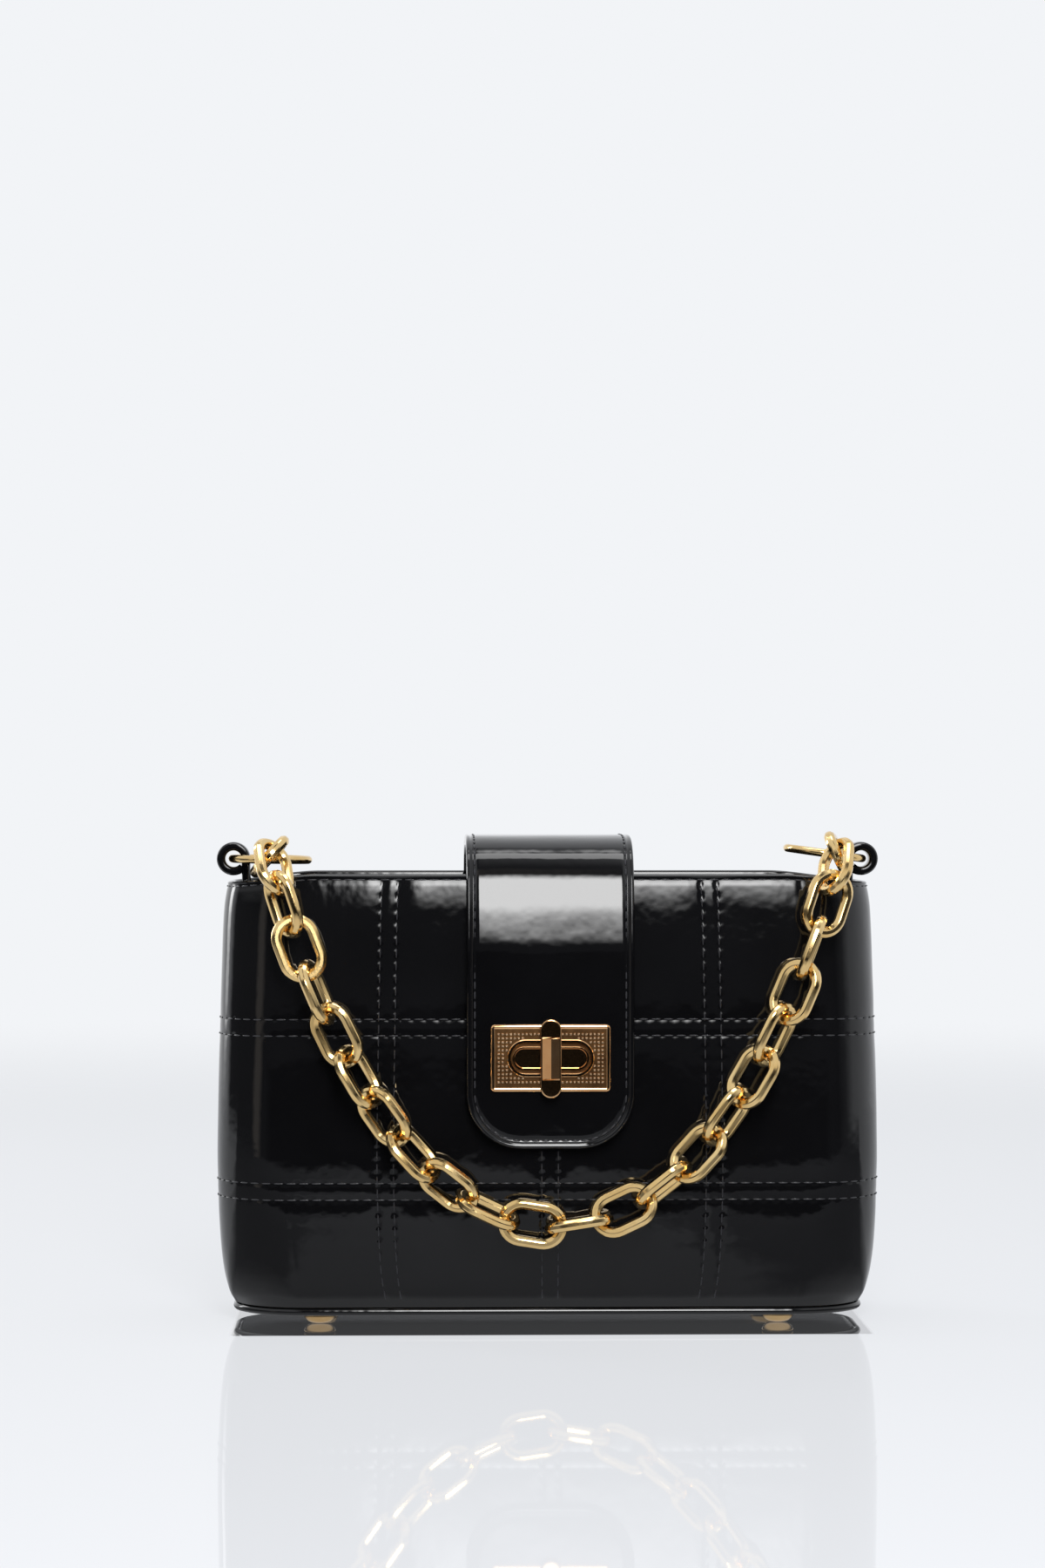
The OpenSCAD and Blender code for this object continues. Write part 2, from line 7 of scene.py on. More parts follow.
import bmesh
import bpy
import numpy
from mathutils import Matrix, Vector, noise
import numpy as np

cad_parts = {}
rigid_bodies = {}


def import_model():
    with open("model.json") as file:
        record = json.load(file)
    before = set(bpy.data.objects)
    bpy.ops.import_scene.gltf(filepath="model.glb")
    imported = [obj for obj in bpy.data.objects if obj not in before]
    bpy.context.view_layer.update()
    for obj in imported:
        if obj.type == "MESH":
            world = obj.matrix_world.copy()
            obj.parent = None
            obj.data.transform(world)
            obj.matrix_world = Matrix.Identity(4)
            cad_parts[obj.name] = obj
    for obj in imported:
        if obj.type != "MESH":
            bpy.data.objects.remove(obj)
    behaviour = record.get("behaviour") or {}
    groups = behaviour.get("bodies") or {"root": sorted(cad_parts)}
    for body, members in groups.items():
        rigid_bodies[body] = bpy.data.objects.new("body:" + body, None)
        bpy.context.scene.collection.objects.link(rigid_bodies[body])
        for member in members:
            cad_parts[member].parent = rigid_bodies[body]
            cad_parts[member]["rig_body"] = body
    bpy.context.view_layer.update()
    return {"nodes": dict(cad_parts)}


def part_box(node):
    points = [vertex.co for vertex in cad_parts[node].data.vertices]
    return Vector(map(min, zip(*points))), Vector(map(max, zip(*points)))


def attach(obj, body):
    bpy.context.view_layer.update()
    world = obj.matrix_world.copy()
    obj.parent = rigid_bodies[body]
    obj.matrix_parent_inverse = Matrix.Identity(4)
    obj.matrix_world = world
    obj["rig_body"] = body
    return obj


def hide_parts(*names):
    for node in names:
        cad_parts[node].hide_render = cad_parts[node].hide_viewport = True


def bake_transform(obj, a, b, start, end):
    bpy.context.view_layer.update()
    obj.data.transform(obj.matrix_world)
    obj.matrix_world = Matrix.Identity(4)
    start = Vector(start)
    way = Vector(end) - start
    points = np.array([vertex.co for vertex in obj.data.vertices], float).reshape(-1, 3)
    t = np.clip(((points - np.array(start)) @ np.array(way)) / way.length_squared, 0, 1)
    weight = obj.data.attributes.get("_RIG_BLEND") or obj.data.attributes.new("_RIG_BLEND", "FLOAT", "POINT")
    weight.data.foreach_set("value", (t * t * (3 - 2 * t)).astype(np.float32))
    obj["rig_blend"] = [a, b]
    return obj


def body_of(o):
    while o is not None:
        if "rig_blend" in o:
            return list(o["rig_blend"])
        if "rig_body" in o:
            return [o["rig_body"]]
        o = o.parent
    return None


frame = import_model()
scene = bpy.context.scene
mm = 0.001

# Camera
# The lens is level, a little above the top of the tab and 1.6 m from the bag. The bag is turned by a degree
# and a half, so its right side lies farther away.
bag_turn = math.radians(1.5)
camera_far = 1600 * mm
camera_aim_y = -42 * mm
camera_aside = -10.1 * mm
camera_h = 197.4 * mm
# The lens and its sensor are in millimetres, as Blender takes them
camera_lens = 101
camera_sensor = 36
view_way = Vector((math.sin(bag_turn), math.cos(bag_turn), 0))
view_right = Vector((math.cos(bag_turn), -math.sin(bag_turn), 0))
lens = bpy.data.cameras.new("camera")
lens.sensor_fit = "VERTICAL"
lens.sensor_height, lens.lens = camera_sensor, camera_lens
camera = bpy.data.objects.new("camera", lens)
camera.location = Vector((0, camera_aim_y, camera_h)) - camera_far * view_way + camera_aside * view_right
camera.rotation_euler = (math.pi / 2, 0, -bag_turn)
scene.collection.objects.link(camera)
scene.camera = camera

# Front and back wall
# Each is one piece of patent leather, drawn over a foam board. Its double rows of quilting run round the
# corners to a seam in the side. The top edge is turned over and stitched.
wall_low, wall_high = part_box("front_panel")
body_half_w = wall_high.x
body_half_d = -wall_low.y
panel_low = wall_low.z
body_h = wall_high.z
panel_rise = body_h - panel_low
panel_t = 2.4 * mm
corner_r = 27 * mm
side_run = body_half_d - corner_r
arc_run = math.pi / 2 * corner_r
flat_run = 2 * (body_half_w - corner_r)
half_round = 2 * side_run + 2 * arc_run + flat_run
# At shares of the height, the shares of the greatest width and depth
width_shares = ((0, 0.951), (0.03, 0.966), (0.08, 0.981), (0.16, 0.992), (0.3, 1), (0.45, 0.999),
                (0.62, 0.994), (0.8, 0.987), (0.93, 0.981), (1, 0.972))
depth_shares = ((0, 0.955), (0.03, 0.975), (0.08, 0.99), (0.16, 1), (0.3, 1), (0.45, 0.995),
                (0.62, 0.98), (0.8, 0.955), (0.93, 0.935), (1, 0.925))
side_dip = 3 * mm
dip_from = 0.72
quilt_heights = (49 * mm, 108.7 * mm)
quilt_places = (-60 * mm, 0, 60 * mm)
row_offsets = (-3 * mm, 3 * mm)
quilt_pitch = 4.6 * mm
groove_w = 0.75 * mm
groove_deep = 0.24 * mm
puff_w = 4.5 * mm
puff_h = 0.12 * mm
edge_row = 2 * mm
roll_from = 151 * mm
edge_w, crease_w, seam_w, tuck_w = 0.7 * mm, 0.8 * mm, 1 * mm, 1.6 * mm
crease_deep, seam_deep, tuck_deep, roll_deep = 0.1 * mm, 0.8 * mm, 0.5 * mm, 0.45 * mm
wave_h, ripple_h = 0.15 * mm, 0.045 * mm
wall_stitch_l, wall_stitch_t = 3.6 * mm, 0.6 * mm
thread_proud = 0.12 * mm
# How far the rows stop short of the side seam and the top edge, and the edge's own row of the seam
side_gap, top_gap, edge_gap = 4 * mm, 3 * mm, 2 * mm
small_step = 0.5 * mm
# How far a row draws the leather in between its holes, and how much more at them
level_pull_shares = (0.06, 0.54)
upright_pull_shares = (0.1, 0.9)


def curve_at(table, share):
    """Reads a smooth curve through the rows of a table."""
    share = min(max(share, table[0][0]), table[-1][0])
    k = max(i for i in range(len(table) - 1) if table[i][0] <= share)

    def slope(i):
        a, b = table[max(i - 1, 0)], table[min(i + 1, len(table) - 1)]
        return (b[1] - a[1]) / (b[0] - a[0])

    run = table[k + 1][0] - table[k][0]
    t = (share - table[k][0]) / run
    return ((2 * t ** 3 - 3 * t ** 2 + 1) * table[k][1] + (t ** 3 - 2 * t ** 2 + t) * run * slope(k)
            + (3 * t ** 2 - 2 * t ** 3) * table[k + 1][1] + (t ** 3 - t ** 2) * run * slope(k + 1))


def half_size(z):
    """Half the width and half the depth of the body at a height."""
    share = (z - panel_low) / panel_rise
    return body_half_w * curve_at(width_shares, share), body_half_d * curve_at(depth_shares, share)


def outline(u, half_w, half_d, radius, way):
    """The point and the way out at a run along half of the body's outline, from its left side seam."""
    if u > half_round / 2:
        place, out = outline(half_round - u, half_w, half_d, radius, way)
        return Vector((-place.x, place.y)), Vector((-out.x, out.y))
    if u < side_run:
        return Vector((-half_w, way * (half_d - radius) * u / side_run)), Vector((-1, 0))
    if u < side_run + arc_run:
        a = (u - side_run) / corner_r
        out = Vector((-math.cos(a), way * math.sin(a)))
        return Vector((radius - half_w, way * (half_d - radius))) + radius * out, out
    t = (u - side_run - arc_run) / flat_run
    return Vector(((half_w - radius) * (2 * t - 1), way * half_d)), Vector((0, way))


def smooth_step(t):
    """Rises gently from nought to one."""
    t = min(max(t, 0), 1)
    return t * t * (3 - 2 * t)


def wall_point(u, z, lift, way):
    """A point of the wall at a run and a height, lifted off its outside."""
    half_w, half_d = half_size(z)
    place, out = outline(u, half_w + lift, half_d + lift, corner_r + lift, way)
    share = min(max((z - panel_low) / panel_rise, 0), 1)
    top_w = body_half_w * width_shares[-1][1]
    dip = side_dip * share ** 6 * smooth_step((abs(place.x) / top_w - dip_from) / (1 - dip_from))
    return Vector((place.x, place.y, z - dip))


def rise(off, width):
    """A smooth rise of one across a width."""
    return math.exp(-(off / width) ** 2)


def quilt_relief(u, z, way):
    """How far the leather stands out: drawn in at the rows of stitches, most at their holes."""
    x = u - half_round / 2
    rows = [(z - row - off, x, level_pull_shares) for row in quilt_heights for off in row_offsets]
    rows += [(x - row - off, z, upright_pull_shares) for row in quilt_places for off in row_offsets]
    drawn = swell = 0
    for off, run, (least, more) in rows:
        pull = least + more * (0.5 + 0.5 * math.cos(2 * math.pi * run / quilt_pitch)) ** 1.5
        drawn = max(drawn, pull * rise(off, groove_w))
        swell = max(swell, rise(off, puff_w))
    drawn = max(drawn, 0.5 * rise(z - body_h + edge_row, edge_w))
    crease = rise(abs(x) - flat_run / 2, crease_w)
    seam = rise(min(u, half_round - u), seam_w)
    tuck = rise(z - panel_low, tuck_w)
    roll = max(z - roll_from, 0) / (body_h - roll_from)
    wave = noise.noise(Vector((x / (42 * mm), z / (30 * mm), 3 * way)))
    ripple = noise.noise(Vector((x / (11 * mm), z / (14 * mm), 7 * way)))
    return (puff_h * (1 - swell) - groove_deep * drawn - crease_deep * crease - seam_deep * seam
            - tuck_deep * tuck - roll_deep * roll ** 2 + wave_h * wave + ripple_h * ripple)


def stops(start, end, step, rows=()):
    """Values from start to end a step apart, with closer ones across each row of stitches."""
    count = max(1, round((end - start) / step))
    values = [start + (end - start) * k / count for k in range(count + 1)]
    for row in rows:
        near = [row + share * groove_w for share in (-1.6, -0.8, 0, 0.8, 1.6)]
        values = [v for v in values if not near[0] - 0.3 * mm < v < near[-1] + 0.3 * mm] + near
    return sorted(values)


def grid(mesh, columns, rows, place):
    """Lays a grid of faces and puts its point (i, j) where place(i, j) says."""
    for vert in bmesh.ops.create_grid(mesh, x_segments=columns - 1, y_segments=rows - 1, size=1)["verts"]:
        i = round((vert.co.x + 1) / 2 * (columns - 1))
        j = round((vert.co.y + 1) / 2 * (rows - 1))
        vert.co = place(i, j)


def weld(mesh, near=0.002 * mm):
    """Joins the points that lie on each other."""
    bmesh.ops.remove_doubles(mesh, verts=mesh.verts, dist=near)


def close_ends(mesh):
    """Fills the open ends of a mesh."""
    bmesh.ops.holes_fill(mesh, edges=[edge for edge in mesh.edges if edge.is_boundary], sides=0)


def finished(mesh, name, body, replaced, skins, sharp=0.6):
    """Welds a mesh, turns its faces outwards and makes it a piece that rides on a body."""
    weld(mesh)
    bmesh.ops.recalc_face_normals(mesh, faces=mesh.faces)
    data = bpy.data.meshes.new(name)
    mesh.to_mesh(data)
    mesh.free()
    data.polygons.foreach_set("use_smooth", [True] * len(data.polygons))
    data.set_sharp_from_angle(angle=sharp)
    for skin in skins:
        data.materials.append(skin)
    piece = bpy.data.objects.new(name, data)
    scene.collection.objects.link(piece)
    if body:
        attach(piece, body)
    if replaced:
        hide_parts(*replaced)
    return piece


def linear(code):
    """Turns an sRGB hex colour to linear light."""
    parts = [int(code[k:k + 2], 16) / 255 for k in (1, 3, 5)]
    return [c / 12.92 if c <= 0.04045 else ((c + 0.055) / 1.055) ** 2.4 for c in parts] + [1]


def wire(node, inputs):
    """Fills inputs, in order or by name, with values, outputs, or nodes whose first output is meant."""
    for socket, value in inputs.items() if isinstance(inputs, dict) else enumerate(inputs):
        if isinstance(value, bpy.types.Node):
            value = value.outputs[0]
        if isinstance(value, bpy.types.NodeSocket):
            node.id_data.links.new(value, node.inputs[socket])
        else:
            node.inputs[socket].default_value = value


def add(tree, kind, inputs=(), ramp=(), **settings):
    """Adds a node of a kind, whose operation may follow its name, with its inputs, ramp and settings."""
    kind, *operation = kind.split()
    made = tree.nodes.new("ShaderNode" + kind)
    if operation:
        made.operation = operation[0]
    for name, value in settings.items():
        setattr(made, name, value)
    wire(made, inputs)
    for _ in ramp[2:]:
        made.color_ramp.elements.new(0.5)
    for k, (position, code) in enumerate(ramp):
        made.color_ramp.elements[k].position = position
        made.color_ramp.elements[k].color = linear(code)
    return made


def shaded(name, **values):
    """Starts a material, and gives it, its tree, its shader and the place on the object."""
    made = bpy.data.materials.new(name)
    made.use_nodes = True
    tree = made.node_tree
    shader = tree.nodes["Principled BSDF"]
    wire(shader, {socket.replace("_", " "): value for socket, value in values.items()})
    return made, tree, shader, add(tree, "TexCoord").outputs["Object"]


# Patent leather: calf under a clear film. The film mirrors sharply, with a faint orange peel, and the dyed
# leather below it is a deep, slightly uneven black.
dye_size = 30 * mm
peel_size = 5 * mm
pore_size = 0.9 * mm
peel_h, pore_h = 0.05, 0.0015
patent, tree, shader, spot = shaded("patent_leather", Roughness=0.5, Coat_Weight=1, Coat_Roughness=0.035,
                                    Coat_IOR=1.5, Specular_IOR_Level=0)
clouds = add(tree, "TexNoise", {"Scale": 1 / dye_size, "Detail": 3, "Vector": spot})
dye = add(tree, "ValToRGB", [clouds], ramp=((0, "#09090a"), (1, "#121214")))
peel = add(tree, "TexNoise", {"Scale": 1 / peel_size, "Detail": 1, "Vector": spot})
pores = add(tree, "TexNoise", {"Scale": 1 / pore_size, "Detail": 2, "Vector": spot})
relief = add(tree, "Math MULTIPLY", [peel, peel_h])
relief = add(tree, "Math MULTIPLY_ADD", [pores, pore_h, relief])
film = add(tree, "Bump", {"Strength": 1, "Distance": mm, "Height": relief})
wire(shader, {"Base Color": dye, "Normal": film, "Coat Normal": film})

# Bonded nylon thread: a hard black twist with a light wax, so each stitch has a small dull highlight. Its
# colour is a dark grey, lighter than the black thread: a painted sheen that lets the stitches show.
ply_size = 2.4 * mm
thread, tree, shader, spot = shaded("bonded_nylon_thread", Base_Color=linear("#2b2b2f"), Roughness=0.34,
                                    IOR=1.5)
twist = add(tree, "TexWave", {"Scale": 1 / ply_size, "Distortion": 1, "Vector": spot},
            bands_direction="DIAGONAL")
ply = add(tree, "Bump", {"Strength": 0.4, "Distance": 0.08 * mm, "Height": twist.outputs["Fac"]})
wire(shader, {"Normal": ply})


def stitch(mesh, place, along, out, length, thick):
    """One stitch of thread on a surface, along a direction."""
    aside = out.cross(along).normalized()
    turn = Matrix((aside * thick / 2, out * thick / 2, along * length / 2)).transposed().to_4x4()
    bmesh.ops.create_uvsphere(mesh, u_segments=6, v_segments=4, radius=1,
                              matrix=Matrix.Translation(place) @ turn)


def run_of(start, end, pitch):
    """The middles of the stitches of a row."""
    first = math.ceil((start + 0.4 * pitch) / pitch - 0.5)
    last = math.floor((end - 0.4 * pitch) / pitch - 0.5)
    return [(k + 0.5) * pitch for k in range(first, last + 1)]


turned_r = panel_t / 2
turned_down = 12 * mm
turned_angles = [math.pi * k / 6 for k in range(1, 7)]
for way, node in ((-1, "front_panel"), (1, "back_panel")):
    name = node.split("_")[0]
    rows = [half_round / 2 + x + off for x in quilt_places for off in row_offsets]
    runs = stops(0, half_round, quilt_pitch / 4, rows)
    rows = [z + off for z in quilt_heights for off in row_offsets]
    levels = [(z, None) for z in stops(panel_low, body_h - turned_r, quilt_pitch / 4, rows)]
    levels += [(body_h - turned_r + turned_r * math.sin(a), turned_r * (math.cos(a) - 1))
               for a in turned_angles]
    levels += [(z, -panel_t) for z in (body_h - turned_down, body_h / 2, panel_low)] + [(panel_low, None)]
    mesh = bmesh.new()

    def wall_place(i, j):
        z, lift = levels[j]
        if lift is None:
            lift = quilt_relief(runs[i], z, way)
        return wall_point(runs[i], z, lift, way)

    grid(mesh, len(runs), len(levels), wall_place)
    weld(mesh)
    close_ends(mesh)
    finished(mesh, name + "_wall", "bag", [node], [patent])

    # Each stitch lies in its groove between two holes
    mesh = bmesh.new()

    def sew(u, z, du, dz):
        lift = quilt_relief(u, z, way) + thread_proud
        place = wall_point(u, z, lift, way)
        ahead = wall_point(u + du, z + dz, lift, way) - wall_point(u - du, z - dz, lift, way)
        out = (wall_point(u, z, lift + mm, way) - place).normalized()
        stitch(mesh, place, ahead.normalized(), out, wall_stitch_l, wall_stitch_t)

    for off in row_offsets:
        for z in quilt_heights:
            for x in run_of(side_gap - half_round / 2, half_round / 2 - side_gap, quilt_pitch):
                sew(half_round / 2 + x, z + off, small_step, 0)
        for x in quilt_places:
            for z in run_of(panel_low, body_h - top_gap, quilt_pitch):
                sew(half_round / 2 + x + off, z, 0, small_step)
    for x in run_of(edge_gap - half_round / 2, half_round / 2 - edge_gap, quilt_pitch):
        sew(half_round / 2 + x, body_h - edge_row, small_step, 0)
    finished(mesh, name + "_wall_stitches", "bag", [], [thread])

# Piping
# A cord in a strip of the same patent leather, sewn in where the walls meet the base. It runs round the whole
# outline, and its seam lies a little inside the walls.
piping_low, piping_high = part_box("base_piping")
piping_r = (piping_high.z - piping_low.z) / 2
piping_z = (piping_high.z + piping_low.z) / 2
piping_in = 1.2 * mm
piping_sides = 12
around = stops(0, 2 * half_round, 2.5 * mm)[:-1]


def ring_point(u, z, lift, flat=True):
    """A point of the whole outline of the body at a height, going round by the front and then the back."""
    place = wall_point(u, z, lift, -1) if u < half_round else wall_point(2 * half_round - u, z, lift, 1)
    if flat:
        place.z = z
    return place


def tube_place(i, j):
    """A point of the piping, along it and round it."""
    a = 2 * math.pi * j / piping_sides
    place = ring_point(around[i % len(around)], panel_low, piping_r * math.cos(a) - piping_in)
    place.z = piping_z + piping_r * math.sin(a)
    return place


mesh = bmesh.new()
grid(mesh, len(around) + 1, piping_sides + 1, tube_place)
finished(mesh, "piping", "bag", ["base_piping"], [patent])

# Base
# A stiff board covered in patent leather, with the outline of the body at its foot. It stands off the floor
# on four studs.
base_low, base_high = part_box("base_panel")
base_columns, base_rows = 41, 21
base_lift = base_high.x + ring_point(0, panel_low, 0).x


def base_place(i, j):
    """A point of the base's underside: the border of the grid follows the outline."""
    x = 2 * i / (base_columns - 1) - 1
    y = 2 * j / (base_rows - 1) - 1
    far = max(abs(x), abs(y))
    if far == 0:
        return Vector((0, 0, base_low.z))
    if abs(y) >= abs(x):
        u = half_round / 2 + x / far * (flat_run / 2 + arc_run / 2)
    else:
        u = half_round / 2 + math.copysign(flat_run / 2 + arc_run / 2
                                           + (arc_run / 2 + side_run) * (1 - abs(y) / far), x)
    rim = wall_point(u, panel_low, base_lift, 1 if y > 0 else -1)
    return Vector((rim.x * far, rim.y * far, base_low.z))


def pulled(mesh, faces, move):
    """Extrudes faces, moves what comes out and gives its faces."""
    made = bmesh.ops.extrude_face_region(mesh, geom=faces)["geom"]
    bmesh.ops.translate(mesh, vec=move, verts=[item for item in made if isinstance(item, bmesh.types.BMVert)])
    return [item for item in made if isinstance(item, bmesh.types.BMFace)]


mesh = bmesh.new()
grid(mesh, base_columns, base_rows, base_place)
pulled(mesh, mesh.faces[:], (0, 0, base_high.z - base_low.z))
finished(mesh, "base", "bag", ["base_panel"], [patent])

# Feet
# Turned brass studs with a low dome, polished and plated in pale gold. A split shank holds each one to
# the base.


def turned(mesh, profile, centre, axis=(0, 0, 1), steps=32):
    """Turns a profile of radii and heights round an axis through a centre."""
    tilt = Vector((0, 0, 1)).rotation_difference(Vector(axis)).to_matrix().to_4x4()
    points = [mesh.verts.new((r, 0, h)) for r, h in profile]
    edges = [mesh.edges.new(pair) for pair in zip(points, points[1:])]
    bmesh.ops.spin(mesh, geom=points + edges, cent=(0, 0, 0), axis=(0, 0, 1), angle=2 * math.pi, steps=steps,
                   use_merge=True)
    bmesh.ops.transform(mesh, matrix=Matrix.Translation(centre) @ tilt, verts=mesh.verts)
    weld(mesh)


# Plated brass: mirror polish with fine rubbing marks, which streak the reflections a little. The strap and
# the rings are a yellow gold, the lock is a rosier one and the studs are paler. The lock plate's sunk field
# is painted dark brown: painted shade.
haze_size = 9 * mm
rub_size = 0.7 * mm
rub_deep = 0.002 * mm


def plated(name, colour, deep, rough):
    """A plated metal of a colour, with a deeper one in its haze, and a roughness."""
    made, tree, shader, spot = shaded(name, Metallic=1)
    haze = add(tree, "TexNoise", {"Scale": 1 / haze_size, "Detail": 4, "Vector": spot})
    tone = add(tree, "ValToRGB", [haze], ramp=((0.3, deep), (0.7, colour)))
    rubbed = add(tree, "TexNoise", {"Scale": 1 / rub_size, "Detail": 3, "Vector": spot})
    worn = add(tree, "MapRange", [rubbed, 0, 1, rough * 0.7, rough * 1.5])
    marks = add(tree, "Bump", {"Strength": 1, "Distance": rub_deep, "Height": rubbed})
    wire(shader, {"Base Color": tone, "Roughness": worn, "Normal": marks})
    return made


yellow_gold = plated("polished_yellow_gold_plate", "#f7d89c", "#eac481", 0.13)
rose_gold = plated("polished_rose_gold_plate", "#f2c592", "#e3ae7a", 0.08)
brushed_rose = plated("sanded_rose_gold_plate", "#f0cfa8", "#e0b88e", 0.24)
# Painted shade: a dark brown rose gold for the sunk field of the lock plate
painted_shade_rose = plated("rose_gold_plate_painted_shade", "#6e4f31", "#4a3320", 0.3)
pale_gold = plated("polished_pale_gold_plate", "#d8b98a", "#c8a673", 0.14)

# Down one side of a stud: shares of its radius, and heights from its foot
foot_top = base_low.z
stud_side = ((0, foot_top), (0.86, foot_top), (0.98, foot_top - 0.2 * mm), (1, foot_top - 0.6 * mm),
             (0.98, foot_top - 1.1 * mm), (0.9, 1.6 * mm), (0.76, 0.8 * mm), (0.55, 0.3 * mm),
             (0.3, 0.06 * mm), (0, 0))
for node in ("foot_front_left", "foot_front_right", "foot_back_left", "foot_back_right"):
    low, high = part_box(node)
    foot_r = (high.x - low.x) / 2
    foot_place = ((low.x + high.x) / 2, (low.y + high.y) / 2, 0)
    mesh = bmesh.new()
    turned(mesh, [(foot_r * share, h) for share, h in stud_side], foot_place)
    finished(mesh, node + "_stud", "bag", [node], [pale_gold])

# Lining
# A loose bag of black cotton twill that hangs from the facing, creased where it meets the base.
lining_low, lining_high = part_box("lining")
shell_in = 3.9 * mm
lining_t = 0.8 * mm
crumple_deep, crumple_size = 1.1 * mm, 40 * mm
held_h = 25 * mm
floor_border = 6 * mm

# Cotton twill: dull, with diagonal ribs. The real ribs are 0.5 mm apart, drawn at 1 mm so that they show.
rib = 1 * mm
twill, tree, shader, spot = shaded("cotton_twill", Roughness=0.85, Sheen_Weight=0.25, Sheen_Roughness=0.5,
                                   Specular_IOR_Level=0.3)
ribs = add(tree, "TexWave", {"Scale": 1 / (20 * rib) * math.pi, "Distortion": 0.6, "Vector": spot},
           bands_direction="DIAGONAL")
# Painted shade: the grooves between the ribs are painted darker than the ribs
tone = add(tree, "ValToRGB", [ribs.outputs["Fac"]], ramp=((0, "#0e0e10"), (1, "#232327")))
raised = add(tree, "Bump", {"Strength": 0.7, "Distance": 0.15 * mm, "Height": ribs.outputs["Fac"]})
wire(shader, {"Base Color": tone, "Normal": raised})

lining_levels = stops(lining_low.z, lining_high.z, 5 * mm)
lining_around = stops(0, 2 * half_round, 5 * mm)[:-1]


def crumple(u, z):
    """How far the cloth hangs in from the walls."""
    a = math.pi * u / half_round
    fold = noise.noise(Vector((2.4 * math.cos(a), 2.4 * math.sin(a), z / crumple_size)))
    return crumple_deep * (0.6 + fold) * smooth_step((lining_high.z - z) / held_h)


def lining_place(i, j):
    """A point of the lining, round it and up it."""
    u, z = lining_around[i % len(lining_around)], lining_levels[j]
    return ring_point(u, z, -shell_in - lining_t - crumple(u, z))


mesh = bmesh.new()
grid(mesh, len(lining_around) + 1, len(lining_levels), lining_place)
weld(mesh)
foot = [edge for edge in mesh.edges if edge.is_boundary and edge.verts[0].co.z < lining_low.z + mm]
floor_face = bmesh.ops.edgeloop_fill(mesh, edges=foot)["faces"]
bmesh.ops.inset_region(mesh, faces=floor_face, thickness=floor_border, depth=0)
bmesh.ops.recalc_face_normals(mesh, faces=mesh.faces)
bmesh.ops.solidify(mesh, geom=mesh.faces[:], thickness=lining_t * 0.7)
finished(mesh, "lining_bag", "bag", ["lining"], [twill])

# Pocket
# A slip pocket of the same twill, with a turned and stitched hem, sewn on the back of the lining.
pocket_low, pocket_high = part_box("inner_pocket")
pocket_columns, pocket_rows = 25, 19
pocket_t, hem_h, hem_t = 0.6 * mm, 9 * mm, 0.5 * mm
pocket_off, pocket_belly = 2.4 * mm, 3.5 * mm


def pocket_place(i, j):
    """A point of the pocket, across it and up it: its mouth hangs a little open."""
    across, up = i / (pocket_columns - 1), j / (pocket_rows - 1)
    x = pocket_low.x + (pocket_high.x - pocket_low.x) * across
    z = pocket_low.z + (pocket_high.z - pocket_low.z) * up
    belly = pocket_belly * math.sin(math.pi * across) ** 0.6 * up ** 1.5
    return Vector((x, half_size(z)[1] - shell_in - lining_t - pocket_off - belly, z))


mesh = bmesh.new()
grid(mesh, pocket_columns, pocket_rows, pocket_place)
hem = [face for face in mesh.faces if face.calc_center_median().z > pocket_high.z - hem_h]
pulled(mesh, hem, (0, -hem_t, 0))
bmesh.ops.delete(mesh, geom=hem, context="FACES")
bmesh.ops.solidify(mesh, geom=mesh.faces[:], thickness=pocket_t)
finished(mesh, "slip_pocket", "bag", ["inner_pocket"], [twill])

# Facing
# A band of calf leather with a satin finish that lines the mouth and is sewn along its top edge to the walls.
facing_low, facing_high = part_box("top_facing")
facing_in = panel_t + 0.2 * mm
facing_t = 1.6 * mm
facing_skirt = facing_low.z + 8 * mm
facing_top = facing_high.z - 0.1 * mm

# Calf leather with a satin finish: fine pebbled grain, drawn at 0.9 mm.
grain = 0.9 * mm
calf, tree, shader, spot = shaded("satin_calf_leather", Roughness=0.42, IOR=1.5, Specular_IOR_Level=0.4)
pebbles = add(tree, "TexVoronoi", {"Scale": 1 / grain, "Vector": spot})
tone = add(tree, "ValToRGB", [pebbles], ramp=((0, "#1a1a1c"), (1, "#111112")))
raised = add(tree, "Bump", {"Strength": 0.5, "Distance": 0.12 * mm, "Height": pebbles})
wire(shader, {"Base Color": tone, "Normal": raised})

facing_around = stops(0, 2 * half_round, 3 * mm)[:-1]
# Heights, and how far in from its outer side: up the outer side, over the rounded top and down the inner side
facing_levels = [(facing_low.z, 0), (facing_skirt, 0), (facing_top - facing_t / 2, 0)]
facing_levels += [(facing_top - facing_t / 2 * (1 - math.sin(a)), facing_t / 2 * (1 - math.cos(a)))
                  for a in turned_angles]
facing_levels += [(facing_top - 2 * mm, facing_t), (facing_skirt, facing_t + 0.4 * mm),
                  (facing_low.z, shell_in - facing_in + facing_t), (facing_low.z, 0)]


def facing_place(i, j):
    """A point of the facing, round it and through its section."""
    z, inset = facing_levels[j]
    return ring_point(facing_around[i % len(facing_around)], z, -facing_in - inset, flat=False)


mesh = bmesh.new()
grid(mesh, len(facing_around) + 1, len(facing_levels), facing_place)
finished(mesh, "mouth_facing", "bag", ["top_facing"], [calf])

